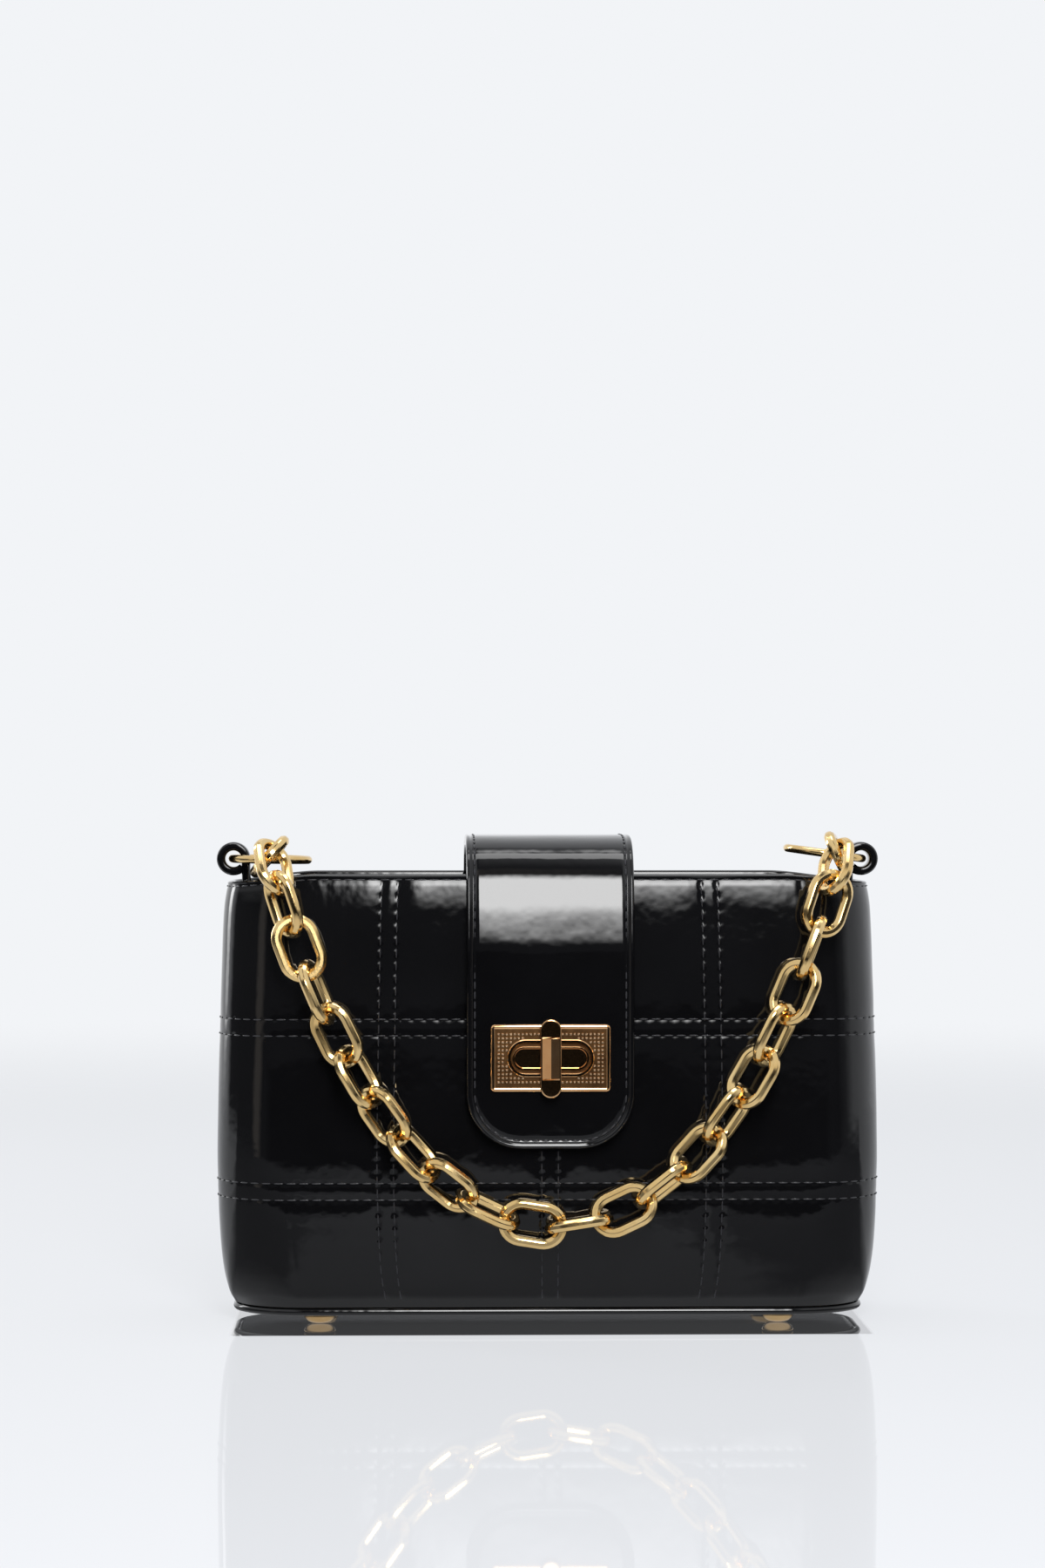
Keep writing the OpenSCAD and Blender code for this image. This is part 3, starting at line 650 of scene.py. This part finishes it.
# Tab
# A strap of patent leather over a thin board, lined with satin calf. It is sewn on the back wall, arches over
# the mouth and hangs in front. Its edges are turned and stitched, and the arch bends softly at its ends.
leaf_low, leaf_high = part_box("tab_front")
top_low, top_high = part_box("tab_top")
lining_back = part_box("tab_front_lining")[1].y
anchor_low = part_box("tab_anchor")[0]
tab_half_w = leaf_high.x
tab_t = lining_back - leaf_low.y
tab_in = -lining_back
arch_z = leaf_high.z
arch_rise = top_high.z - tab_t - arch_z
arch_power = 4
tab_corner_r = 20 * mm
sewn_corner_r = 5 * mm
sewn_thin = 2.2 * mm
tab_pitch = 3.6 * mm
tab_row = 3 * mm
tab_stitch_l, tab_stitch_t = 2.9 * mm, 0.75 * mm
fold_line_z, fold_line_w, fold_line_deep = 169.5 * mm, 0.5 * mm, 0.12 * mm
ease_z, ease_w, ease_out = 136 * mm, 9 * mm, 0.6 * mm
tab_wave_h = 0.14 * mm
edge_lines = 8
arch_points = 720


def in_mm(*pairs):
    """Turns pairs in millimetres to metres."""
    return [(a * mm, b * mm) for a, b in pairs]


# The turned edge from the lining round to the face: how far in from the outline and how deep each line lies
tab_edge = in_mm((0.55, 4), (0.1, 3.8), (0, 3.3), (0.14, 2.7), (0.14, 2.5), (0, 2.1), (0, 1.1), (0.12, 0.5),
                 (0.4, 0.16), (0.85, 0.02), (1.3, 0.1), (1.62, 0.34), (1.8, 0.4), (2, 0.26), (2.3, 0.08),
                 (2.65, 0.1), (2.85, 0.22), (3, 0.27), (3.15, 0.22), (3.4, 0.1), (3.9, 0.02), (4.8, 0))


def tab_path():
    """The line of the tab's lining side, from its sewn end over to its lower end, with the way out of it."""
    points = [(Vector((tab_in, anchor_low.z)), Vector((1, 0)))]
    for k in range(arch_points + 1):
        a = math.radians(180 * k / arch_points)
        c, s = math.cos(a), math.sin(a)
        y = math.copysign(tab_in * abs(c) ** (2 / arch_power), c)
        z = arch_rise * s ** (2 / arch_power)
        out = Vector((math.copysign((abs(y) / tab_in) ** (arch_power - 1), c) / tab_in,
                      (z / arch_rise) ** (arch_power - 1) / arch_rise))
        points.append((Vector((y, arch_z + z)), out.normalized()))
    points.append((Vector((-tab_in, leaf_low.z)), Vector((-1, 0))))
    runs = [0]
    for (a, _), (b, _) in zip(points, points[1:]):
        runs.append(runs[-1] + (b - a).length)
    return points, runs


path_points, path_runs = tab_path()
tab_run = path_runs[-1]
top_run = path_runs[1 + arch_points // 2]


def tab_line(run):
    """The point and the way out at a run along the tab."""
    k = min(max(bisect.bisect_right(path_runs, run) - 1, 0), len(path_runs) - 2)
    t = (run - path_runs[k]) / (path_runs[k + 1] - path_runs[k])
    (a, out_a), (b, out_b) = path_points[k], path_points[k + 1]
    return a.lerp(b, t), out_a.lerp(out_b, t).normalized()


def tab_point(x, run, deep):
    """A point of the tab across it, along it and below its face."""
    place, out = tab_line(run)
    sewn = sewn_thin * smooth_step((arch_z - place.y) / (arch_z - anchor_low.z)) if place.x > 0 else 0
    place = place + out * (tab_t - deep - sewn)
    return Vector((x, place.x, place.y))


def round_end(x, far, radius):
    """Rounds the lower corners of the tab: moves a point across and its distance from the end."""
    a, b = radius - (tab_half_w - abs(x)), radius - far
    if a <= 0 or b <= 0:
        return x, far
    shrink = max(a, b) / math.hypot(a, b)
    return math.copysign(tab_half_w - radius + a * shrink, x), radius - b * shrink


def tab_relief(x, run, deep):
    """Softens the face: drawn in at its stitches, with a fold line over the bend and faint waves."""
    place = tab_line(run)[0]
    fold = rise(place.y - fold_line_z, fold_line_w) if place.x < 0 else 0
    ease = rise(place.y - ease_z, ease_w) if place.x < 0 else 0
    wave = noise.noise(Vector((x / (26 * mm), run / (17 * mm), 2)))
    return deep + fold_line_deep * fold - ease_out * ease + tab_wave_h * wave


def tab_length(name, end, start, corner, body_names, span, nodes):
    """One length of the tab, from its end to the middle of the top, and its stitches."""
    ahead = 1 if start > end else -1
    length = abs(start - end)
    lines = [inset for inset, _ in tab_edge]
    inner = stops(lines[-1], 2 * tab_half_w - lines[-1], 2.6 * mm)[1:-1]
    columns = lines + inner + [2 * tab_half_w - inset for inset in reversed(lines)]
    rows = lines + stops(lines[-1], length, tab_pitch / 4)[1:]
    last = len(columns) - 1

    def face_place(i, j):
        ring = min(i, last - i, j)
        deep = tab_edge[ring][1] if ring < len(lines) else 0
        x, far = round_end(columns[i] - tab_half_w, rows[j], corner)
        run = end + ahead * far
        return tab_point(x, run, tab_relief(x, run, deep) if ring >= edge_lines else deep)

    def lining_place(i, j):
        edge, deep = tab_edge[0]
        x = tab_half_w - max(edge, min(columns[i], 2 * tab_half_w - columns[i]))
        x, far = round_end(math.copysign(x, columns[i] - tab_half_w), max(edge, rows[j]), corner)
        return tab_point(x, end + ahead * far, deep)

    mesh = bmesh.new()
    grid(mesh, len(columns), len(rows), face_place)
    front = set(mesh.faces)
    grid(mesh, len(columns), len(rows), lining_place)
    for item in mesh.faces:
        item.material_index = int(item not in front)
    weld(mesh)
    bmesh.ops.dissolve_degenerate(mesh, edges=mesh.edges, dist=0.001 * mm)
    close_ends(mesh)
    piece = finished(mesh, name + "_leather", None, nodes, [patent, calf])
    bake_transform(piece, *body_names, *span)

    places = [(side * (tab_half_w - tab_row), end + ahead * far)
              for side in (-1, 1) for far in run_of(corner, length, tab_pitch)]
    places += [(x, end + ahead * tab_row)
               for x in run_of(corner - tab_half_w, tab_half_w - corner, tab_pitch)]
    bend_r = corner - tab_row
    turns = round(math.pi / 2 * bend_r / tab_pitch) if bend_r > tab_row else 0
    for k in range(turns):
        a = (k + 0.5) / turns * math.pi / 2
        places += [(side * (tab_half_w - corner + bend_r * math.cos(a)),
                    end + ahead * (corner - bend_r * math.sin(a))) for side in (-1, 1)]
    mesh = bmesh.new()
    for x, run in places:
        far = abs(run - end)
        place = tab_point(x, run, thread_proud)
        out = (tab_point(x, run, -mm) - place).normalized()
        turn = Vector((0, ahead * mm))
        if far <= corner:
            from_middle = math.copysign(max(abs(x) - tab_half_w + corner, 0), x)
            turn = Vector((corner - far, from_middle)).normalized() * mm
        along = tab_point(x + turn.x, run + ahead * turn.y, thread_proud) - place
        stitch(mesh, place, along.normalized(), out, tab_stitch_l, tab_stitch_t)
    piece = finished(mesh, name + "_stitches", None, [], [thread])
    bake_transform(piece, *body_names, *span)


# The rear bend turns over the edge of the back wall: lower down it would curl through it. The front bend is
# the whole front of the arch.
rear_bend = ((0, body_half_d - 4 * mm, body_h - 2.5 * mm), (0, body_half_d - 8 * mm, body_h + 12.5 * mm))
front_bend = ((0, top_low.y, top_high.z - 6 * mm), (0, -tab_in - tab_t, arch_z))
tab_length("tab_rear", 0, top_run, sewn_corner_r, ("bag", "tab_over"), rear_bend,
           ("tab_anchor", "tab_rear_bend", "tab_top"))
tab_length("tab_front", tab_run, top_run, tab_corner_r, ("tab_over", "tab_hanging"), front_bend,
           ("tab_top_lining", "tab_front_bend", "tab_front", "tab_front_lining", "tab_front_board"))

# Lock plate
# Stamped brass, plated and polished. Its sunk field holds a fine stipple of square points, and a raised oval
# rim stands round the slot of the turn lock. The field is painted dark brown as painted shade.
plate_low, plate_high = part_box("lock_plate")
lock_middle = (plate_low + plate_high) / 2
lock_back = plate_high.y
plate_w, plate_h = plate_high.x - plate_low.x, plate_high.z - plate_low.z
lock_deep = plate_high.y - plate_low.y
plate_t = 1.2 * mm
plate_corner = 1.3 * mm
plate_rim = 1.6 * mm
field_deep = 0.35 * mm
oval_w, oval_h = 31.6 * mm, 13.6 * mm
oval_gap = 0.5 * mm
stud_size = 0.95 * mm
stud_apart = 1.45 * mm
# From the lock's own plane, with its face up, to its place on the tab
lock_turn = (Matrix.Translation((lock_middle.x, lock_back, lock_middle.z))
             @ Matrix.Rotation(math.pi / 2, 4, "X"))


def stepped(mesh, face, steps):
    """Takes a face through steps, each an inset and a rise, and gives what is left of it."""
    for inset, up in steps:
        if inset:
            bmesh.ops.inset_individual(mesh, faces=[face], thickness=inset, use_even_offset=True)
            bmesh.ops.translate(mesh, vec=(0, 0, up), verts=face.verts)
        else:
            top = pulled(mesh, [face], (0, 0, up))[0]
            bmesh.ops.delete(mesh, geom=[face], context="FACES_ONLY")
            face = top
    return face


def oval_face(mesh, wide, high, z):
    """A flat face with round ends."""
    made = bmesh.ops.create_circle(mesh, cap_ends=True, segments=72, radius=min(wide, high) / 2)["verts"]
    axis, stretch = (0, (wide - high) / 2) if wide > high else (1, (high - wide) / 2)
    for vert in made:
        if abs(vert.co[axis]) > 0.01 * mm:
            vert.co[axis] += math.copysign(stretch, vert.co[axis])
        vert.co.z = z
    return made[0].link_faces[0]


def placed(mesh, name, body, nodes, skins, sharp=0.5):
    """Puts a piece of the lock in its place on the tab."""
    bmesh.ops.transform(mesh, matrix=lock_turn, verts=mesh.verts)
    return finished(mesh, name, body, nodes, skins, sharp)


mesh = bmesh.new()
corners = bmesh.ops.create_grid(mesh, x_segments=1, y_segments=1, size=1)["verts"]
for vert in corners:
    vert.co = Vector((vert.co.x * plate_w / 2, vert.co.y * plate_h / 2, 0))
bmesh.ops.bevel(mesh, geom=corners, affect="VERTICES", offset=plate_corner, segments=2, profile=0.5,
                material=-1)
face = mesh.faces[:][0]
if face.normal.z < 0:
    face.normal_flip()
# Up the edge, over the rounded rim and down to the field
rim_steps = in_mm((0.12, 0.2), (0.2, 0.15), (0.25, 0.08), (0.25, 0.02), (0.25, -0.02), (0.25, -0.1))
rim_in = sum(inset for inset, _ in rim_steps)
rim_up = sum(up for _, up in rim_steps if up > 0)
rim_down = sum(up for _, up in rim_steps if up < 0)
rim_steps = [(0, plate_t - rim_up)] + rim_steps + [(plate_rim - rim_in, -rim_down - field_deep)]
field = stepped(mesh, face, rim_steps)
# The sunk field takes the dark brown plate: painted shade
field.material_index = 1
field_z = plate_t - field_deep
stud_columns = int((plate_w - 2 * plate_rim - stud_apart) / stud_apart / 2)
stud_rows = int((plate_h - 2 * plate_rim - stud_apart) / stud_apart / 2)
for column in range(-stud_columns, stud_columns + 1):
    for row in range(-stud_rows, stud_rows + 1):
        x, y = column * stud_apart, row * stud_apart
        reach = math.hypot(max(abs(x) - (oval_w - oval_h) / 2, 0), y)
        if reach <= oval_h / 2 + oval_gap:
            continue
        turn = Matrix.Translation((x, y, field_z)) @ Matrix.Rotation(math.pi / 4, 4, "Z")
        stud = bmesh.ops.create_cone(mesh, cap_ends=True, segments=4, radius1=stud_size * 0.71,
                                     radius2=stud_size * 0.5, depth=2 * field_deep, matrix=turn)
        for face in {face for vert in stud["verts"] for face in vert.link_faces}:
            face.material_index = 2
placed(mesh, "lock_plate_face", "tab_hanging", ["lock_plate"], [rose_gold, painted_shade_rose, brushed_rose], 0.6)

mesh = bmesh.new()
stepped(mesh, oval_face(mesh, oval_w, oval_h, field_z - 0.1 * mm),
        [(0, lock_deep - field_z - 0.15 * mm)] + in_mm((0.25, 0.25), (0.85, 0), (0.25, -0.25), (0, -1.2)))
placed(mesh, "lock_oval_rim", "tab_hanging", [], [rose_gold])

# Lock boss
# The raised oval of the turn lock in the slot of the plate: a thin rim round a sunk, darker middle.
boss_low, boss_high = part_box("lock_boss")
boss_w, boss_h = boss_high.x - boss_low.x, boss_high.z - boss_low.z
mesh = bmesh.new()
stepped(mesh, oval_face(mesh, boss_w, boss_h, lock_back - boss_high.y),
        [(0, boss_high.y - boss_low.y - 0.2 * mm)] + in_mm((0.2, 0.2), (0.5, 0), (0.2, -0.6)))
placed(mesh, "lock_boss_oval", "tab_hanging", ["lock_boss"], [rose_gold])

# Turn knob
# A cast brass bar with round ends that turns on its post, plated like the plate and bare. A ridge runs along
# its middle and ends in a flat at each end.
knob_low, knob_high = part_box("turn_knob")
knob_w, knob_l = knob_high.x - knob_low.x, knob_high.z - knob_low.z
knob_base = lock_back - knob_high.y
knob_top = lock_back - knob_low.y
knob_side = (knob_top - knob_base) * 0.52
mesh = bmesh.new()
face = oval_face(mesh, knob_w, knob_l, knob_base)
knob_steps = in_mm((0.12, 0.2), (0.15, 0.12), (0.25, 0.06), (0.13, 0))
face = stepped(mesh, face, [(0, knob_side - 0.13 * mm)] + knob_steps)
rim_z = face.verts[0].co.z
ridge_end = knob_l / 2 - knob_w * 0.86
ridge_slope = 0.5 * mm
cuts = [((0, 0, 0), (1, 0, 0))]
cuts += [((0, end * reach, 0), (0, 1, 0))
         for end in (-1, 1) for reach in (ridge_end, ridge_end - ridge_slope)]
for place, way_out in cuts:
    bmesh.ops.bisect_plane(mesh, geom=mesh.verts[:] + mesh.edges[:] + mesh.faces[:], dist=0.001 * mm,
                           plane_co=place, plane_no=way_out)
near = 0.01 * mm
for vert in mesh.verts:
    on_ridge = abs(vert.co.x) < near and abs(vert.co.y) < ridge_end - ridge_slope + near
    if on_ridge and vert.co.z > rim_z - near:
        vert.co.z = knob_top - 0.05 * mm
placed(mesh, "turn_knob_bar", "knob", ["turn_knob"], [rose_gold], 0.35)

# Post, back plate and the lock's base on the wall
# These, and the washers under the feet, are plain stamped brass. They keep the shapes of the frame, because
# little of them is ever seen.


def keep_shape(nodes, skin):
    """Gives nodes that keep their shape a material."""
    for node in nodes:
        slots = frame["nodes"][node].data.materials
        slots.clear()
        slots.append(skin)


keep_shape(("knob_post", "lock_back_plate", "lock_base", "foot_washers"), pale_gold)

# Boards
# Fibreboard stiffeners inside the walls and the base, hidden by the leather. Short fibres show on its faces.
fibre = 3 * mm
board, tree, shader, spot = shaded("bag_fibreboard", Roughness=0.8)
fibres = add(tree, "TexNoise", {"Scale": 1 / fibre, "Detail": 5, "Distortion": 1.5, "Vector": spot})
tone = add(tree, "ValToRGB", [fibres], ramp=((0, "#8f7c5f"), (1, "#c0ab88")))
wire(shader, {"Base Color": tone})
keep_shape(("front_stiffener", "back_stiffener", "base_board"), board)

# Ring loops
# A strip of patent leather folded round each ring. Both ends go down inside the mouth and are sewn to
# the facing.
loop_out = 6.2 * mm
strip_t = 3.2 * mm
strip_sides = 16
bend_r = loop_out - strip_t / 2
for side, node in ((-1, "ring_loop_left"), (1, "ring_loop_right")):
    low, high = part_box(node)
    middle_x = (high.x if side > 0 else low.x) - side * loop_out
    middle_y, middle_z = (low.y + high.y) / 2, high.z - loop_out
    # Up the leg in the mouth, and then round the ring
    steps = [(middle_x - side * (loop_out - 1.25 * mm), low.z, 0)]
    steps += [(middle_x - side * bend_r * math.cos(a), middle_z + bend_r * math.sin(a), a)
              for a in [math.radians(k) for k in range(0, 321, 10)]]

    def strip_place(i, j):
        """A point of the strip, along it and round its section."""
        x, z, a = steps[i]
        b = 2 * math.pi * j / strip_sides
        across = math.copysign(abs(math.cos(b)) ** 0.25, math.cos(b)) * (high.y - low.y) / 2
        thick = math.copysign(abs(math.sin(b)) ** 0.6, math.sin(b)) * strip_t / 2
        return Vector((x - side * thick * math.cos(a), middle_y + across, z + thick * math.sin(a)))

    mesh = bmesh.new()
    grid(mesh, len(steps), strip_sides + 1, strip_place)
    weld(mesh)
    close_ends(mesh)
    finished(mesh, node + "_strip", "bag", [node], [patent])

# Rings
# Brass wire bent to a ring and soldered, plated in yellow gold. Each hangs in its loop and leans as its node
# in the frame does.


def axes_of(node):
    """The middle of a node and its longest, middle and shortest directions."""
    points = {tuple(round(c, 6) for c in vert.co) for vert in frame["nodes"][node].data.vertices}
    points = numpy.array(list(points))
    middle = points.mean(axis=0)
    _, ways = numpy.linalg.eigh((points - middle).T @ (points - middle))
    return Vector(middle), [Vector(ways[:, k]) for k in (2, 1, 0)]


ring_wire = 3 * mm
wire_sides = 14
for node in ("ring_left", "ring_right"):
    thin = axes_of(node)[1][2]
    low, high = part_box(node)
    ring_r = (high.y - low.y - ring_wire) / 2
    mesh = bmesh.new()
    turned(mesh, [(ring_r + ring_wire / 2 * math.cos(a), ring_wire / 2 * math.sin(a))
                  for a in [2 * math.pi * k / wire_sides for k in range(wire_sides + 1)]],
           (low + high) / 2, thin, steps=64)
    finished(mesh, node + "_wire", "bag", [node], [yellow_gold], 1.2)

# Chain
# Plain long links of thick brass wire with planed flats, closed by soldering and plated in yellow gold. Every
# other link shows its face.
link_wire = 3.9 * mm
link_w = 17.5 * mm
link_l = 25.4 * mm
flats = 8
edge_cut = 0.22 * mm
flat_r = link_wire / 2 / math.cos(math.pi / flats)
link_bend_r = (link_w - link_wire) / 2
link_straight = link_l - link_w

# One link, standing on end: its section goes round one bend, along one side, round the other bend and back
link_mesh = bmesh.new()
section = bmesh.ops.create_circle(link_mesh, segments=flats, radius=flat_r)["verts"]
bmesh.ops.rotate(link_mesh, verts=section, cent=(0, 0, 0), matrix=Matrix.Rotation(math.pi / flats, 3, "Z"))
bmesh.ops.bevel(link_mesh, geom=section, affect="VERTICES", offset=edge_cut, segments=1, material=-1)
bmesh.ops.translate(link_mesh, vec=(link_bend_r, 0, link_straight / 2), verts=link_mesh.verts)
loop = link_mesh.edges[:]
for end in (1, -1):
    geom = loop + list({vert for edge in loop for vert in edge.verts})
    loop = bmesh.ops.spin(link_mesh, geom=geom, cent=(0, 0, end * link_straight / 2), axis=(0, -1, 0),
                          angle=math.pi, steps=16)["geom_last"]
    loop = [item for item in loop if isinstance(item, bmesh.types.BMEdge)]
    made = bmesh.ops.extrude_edge_only(link_mesh, edges=loop)["geom"]
    loop = [item for item in made if isinstance(item, bmesh.types.BMEdge)]
    bmesh.ops.translate(link_mesh, vec=(0, 0, -end * link_straight),
                        verts=list({vert for edge in loop for vert in edge.verts}))
weld(link_mesh, 0.01 * mm)

for node in sorted(frame["nodes"]):
    if not node.startswith(("chain_link", "strap_end")):
        continue
    middle, (long, wide, thin) = axes_of(node)
    if wide.cross(thin).dot(long) < 0:
        thin = -thin
    turn = Matrix((wide, thin, long)).transposed().to_4x4()
    mesh = link_mesh.copy()
    bmesh.ops.transform(mesh, matrix=Matrix.Translation(middle) @ turn, verts=mesh.verts)
    body_name = body_of(frame["nodes"][node])[0]
    finished(mesh, node + "_wire", body_name, [node], [yellow_gold], 0.28)
link_mesh.free()

# Floor
# A pale lacquered table top that fades into the background far away. It mirrors the bag faintly, and almost
# fully under it and just before it, where its glow is mostly gone: a painted shadow. The front of the bag
# mirrors only a glowing patch painted on the floor.
floor_r = 2.4
floor_far = (0.85, 2.1)
mirrored_to = (-0.5, -0.75)
shadow_zone_half_w = (116 * mm, 114.5 * mm)
shadow_zone_half_d = (body_half_d + 27 * mm, body_half_d + 25 * mm)
mirror_faint, mirror_full = 0.13, 0.95
mirror_dim = 0.7
patch_left = 15 * mm
patch_half_w = (0.18, 0.145)
patch_taper = 0.05
patch_ragged, patch_cloud = 0.12, 90 * mm
patch_glow, back_glow, steep_glow = 0.28, 0.85, 0.75
soft = "SMOOTHSTEP"
mesh = bmesh.new()
bmesh.ops.create_circle(mesh, cap_ends=True, segments=96, radius=floor_r)
floor = finished(mesh, "floor", None, [], [])


def emptied(owner):
    """Starts the node tree of a material, a lamp or a world from nothing."""
    owner.use_nodes = True
    owner.node_tree.nodes.clear()
    return owner.node_tree


# White lacquer: a soft coat that takes the bag's shadow, under a clear mirror, strongest at a low angle.
# The inputs of each range are a value, the two ends that it comes from and the two that it goes to.
lacquer = bpy.data.materials.new("white_lacquer")
tree = emptied(lacquer)
ray = add(tree, "LightPath")
camera_ray, glossy_ray = ray.outputs["Is Camera Ray"], ray.outputs["Is Glossy Ray"]
spot = add(tree, "TexCoord").outputs["Object"]
spot_x, spot_y, _ = add(tree, "SeparateXYZ", [spot]).outputs
slope = add(tree, "SeparateXYZ", [add(tree, "NewGeometry").outputs["Incoming"]]).outputs["Z"]

# Where it fades: far from the bag, and near the front edge for what the bag mirrors
far = add(tree, "VectorMath LENGTH", [spot]).outputs["Value"]
faded = add(tree, "MapRange", [far, *floor_far], interpolation_type=soft)
edge = add(tree, "MapRange", [spot_y, *mirrored_to], interpolation_type=soft)
edge = add(tree, "Math MULTIPLY", [edge, glossy_ray])
gone = add(tree, "Math MAXIMUM", [faded, edge])

# The painted shadow: a zone under the bag and just before it, where it mirrors almost fully and so hardly
# glows
painted_shadow_zone = []
for place, reach in ((spot_x, shadow_zone_half_w), (spot_y, shadow_zone_half_d)):
    off = add(tree, "Math ABSOLUTE", [place])
    painted_shadow_zone.append(add(tree, "MapRange", [off, *reach]))
painted_shadow_zone = add(tree, "Math MULTIPLY", painted_shadow_zone)
outside_shadow_zone = add(tree, "Math SUBTRACT", [1, painted_shadow_zone])
not_twice = add(tree, "Math SUBTRACT", [1, glossy_ray])
flat_on = add(tree, "MapRange", [slope, 0.15, 0.5, 1, 0.1])
mirror = add(tree, "MapRange", [painted_shadow_zone, 0, 1, mirror_faint, mirror_full])
mirror = add(tree, "Math MULTIPLY", [mirror, not_twice])
mirror = add(tree, "Math MULTIPLY", [mirror, flat_on])

# How brightly it glows, as painted light, for what mirrors it: in a patch with ragged sides and behind the
# bag, both left out of the painted shadow, and at a steep angle
clouds = add(tree, "TexNoise", {"Scale": 1 / patch_cloud, "Detail": 3, "Vector": spot})
off = add(tree, "Math ADD", [spot_x, patch_left])
off = add(tree, "Math ABSOLUTE", [off])
off = add(tree, "Math MULTIPLY_ADD", [clouds, patch_ragged, off])
off = add(tree, "Math MULTIPLY_ADD", [spot_y, -patch_taper, off])
patch = add(tree, "MapRange", [off, *patch_half_w, 0, patch_glow], interpolation_type=soft)
back = add(tree, "MapRange", [spot_y, 0, 0.06, 0, back_glow])
steep = add(tree, "MapRange", [slope, 0.25, 0.55, 0, steep_glow])
lit = add(tree, "Math MAXIMUM", [patch, back])
lit = add(tree, "Math MULTIPLY", [lit, outside_shadow_zone])
lit = add(tree, "Math MAXIMUM", [lit, steep])
lit = add(tree, "Math MAXIMUM", [lit, camera_ray])

coat = add(tree, "BsdfDiffuse", [linear("#757679")])
glow = add(tree, "Emission", [linear("#d6d8db"), lit])
body = add(tree, "AddShader", [coat, glow])
# In the painted shadow the mirror is also dimmed
tint = add(tree, "MapRange", [painted_shadow_zone, 0, 1, 1, mirror_dim])
gloss = add(tree, "BsdfGlossy", {"Roughness": 0.02, "Color": tint})
top = add(tree, "MixShader", [mirror, body, gloss])
whole = add(tree, "MixShader", [gone, top, add(tree, "BsdfTransparent")])
add(tree, "OutputMaterial", [whole])
floor.data.materials.append(lacquer)

# Room
# The studio as the bag mirrors it: white walls behind and at the sides, darkness round the camera, and white
# corners of the ceiling. The camera sees a plain pale background, and soft light comes from everywhere.
left_wall = ((0, "#404144"), (0.15, "#404144"), (0.19, "#bcb4ac"), (0.23, "#bcb4ac"), (0.27, "#4c4d50"),
             (0.68, "#4c4d50"), (0.76, "#eceef2"), (1, "#f6f7f9"))
right_wall = ((0, "#404144"), (0.2, "#303134"), (0.3, "#6c6d70"), (0.42, "#d4d6d9"), (0.8, "#eceef2"))
world = bpy.data.worlds.new("studio")
scene.world = world
tree = emptied(world)
ray = add(tree, "LightPath")
way_x, way_y, way_z = add(tree, "SeparateXYZ", [add(tree, "TexCoord").outputs["Generated"]]).outputs
behind = add(tree, "MapRange", [way_y, -1, 1])
walls = [add(tree, "ValToRGB", [behind], ramp=shades) for shades in (left_wall, right_wall)]
to_right = add(tree, "MapRange", [way_x, -0.1, 0.1])
around_bag = add(tree, "Mix", {0: to_right, 6: walls[0], 7: walls[1]}, data_type="RGBA").outputs[2]

# The darkness below the horizon, apart from behind and at the sides
above = add(tree, "MapRange", [way_z, -0.02, 0])
back_keep = add(tree, "MapRange", [way_y, 0, 0.3])
sideways = add(tree, "Math ABSOLUTE", [way_x])
flank = add(tree, "MapRange", [sideways, 0.5, 0.65])
level = add(tree, "Math MAXIMUM", [above, back_keep])
level = add(tree, "Math MAXIMUM", [level, flank])

# The white corners of the ceiling
aside = add(tree, "MapRange", [sideways, 0.12, 0.3])
high_up = add(tree, "MapRange", [way_z, 0.15, 0.35])
corner = add(tree, "Math MULTIPLY", [aside, high_up])
roomy = add(tree, "Mix", {0: corner, 6: around_bag, 7: linear("#e0e2e5")}, data_type="RGBA").outputs[2]
room = add(tree, "Background", [roomy, level])
fill = add(tree, "Background", [linear("#d8dade"), 0.5])
pale = add(tree, "Background", [linear("#f2f4f7"), 1])
shiny = add(tree, "MixShader", [ray.outputs["Is Glossy Ray"], fill, room])
seen = add(tree, "Math MAXIMUM", [ray.outputs["Is Camera Ray"], ray.outputs["Is Transmission Ray"]])
add(tree, "OutputWorld", [add(tree, "MixShader", [seen, shiny, pale])])

# Lights
# A tall soft panel before the bag and above the camera, a narrow one behind on the left, and a wide one
# overhead.
front_aim = Vector((0, -0.04, 0.16))
front_far = 1.3
front_side = math.radians(3.5)
front_up = math.radians(27)
front_way = Vector((math.sin(front_side) * math.cos(front_up), -math.cos(front_side) * math.cos(front_up),
                    math.sin(front_up)))


def soft_light(name, place, aim, size, watts, fade):
    """A soft light panel that faces a point and fades towards its rim."""
    lamp = bpy.data.lights.new(name, "AREA")
    lamp.shape = "RECTANGLE"
    lamp.size, lamp.size_y = size
    lamp.energy = watts
    tree = emptied(lamp)
    shares = []
    for across in add(tree, "SeparateXYZ", [add(tree, "NewGeometry").outputs["Parametric"]]).outputs[:2]:
        off = add(tree, "Math SUBTRACT", [across, 0.5])
        off = add(tree, "Math ABSOLUTE", [off])
        shares.append(add(tree, "MapRange", [off, 0.5, 0.5 * (1 - fade)], interpolation_type=soft))
    glow = add(tree, "Emission", {"Strength": add(tree, "Math MULTIPLY", shares)})
    add(tree, "OutputLight", [glow])
    stand = bpy.data.objects.new(name, lamp)
    stand.location = place
    stand.rotation_euler = (Vector(aim) - Vector(place)).to_track_quat("-Z", "Y").to_euler()
    scene.collection.objects.link(stand)


soft_light("front_light", front_way * front_far + front_aim, front_aim, (0.38, 1.16), watts=22, fade=0.5)
soft_light("side_light", (-1.01, 0.76, 0.6), (-0.12, -0.04, 0.6), (0.3, 1.2), watts=6.5, fade=0.6)
soft_light("overhead_light", (0, 0.1, 1.5), (0, 0, 0.1), (1.2, 0.6), watts=8, fade=0.3)

scene.view_settings.view_transform = "Standard"
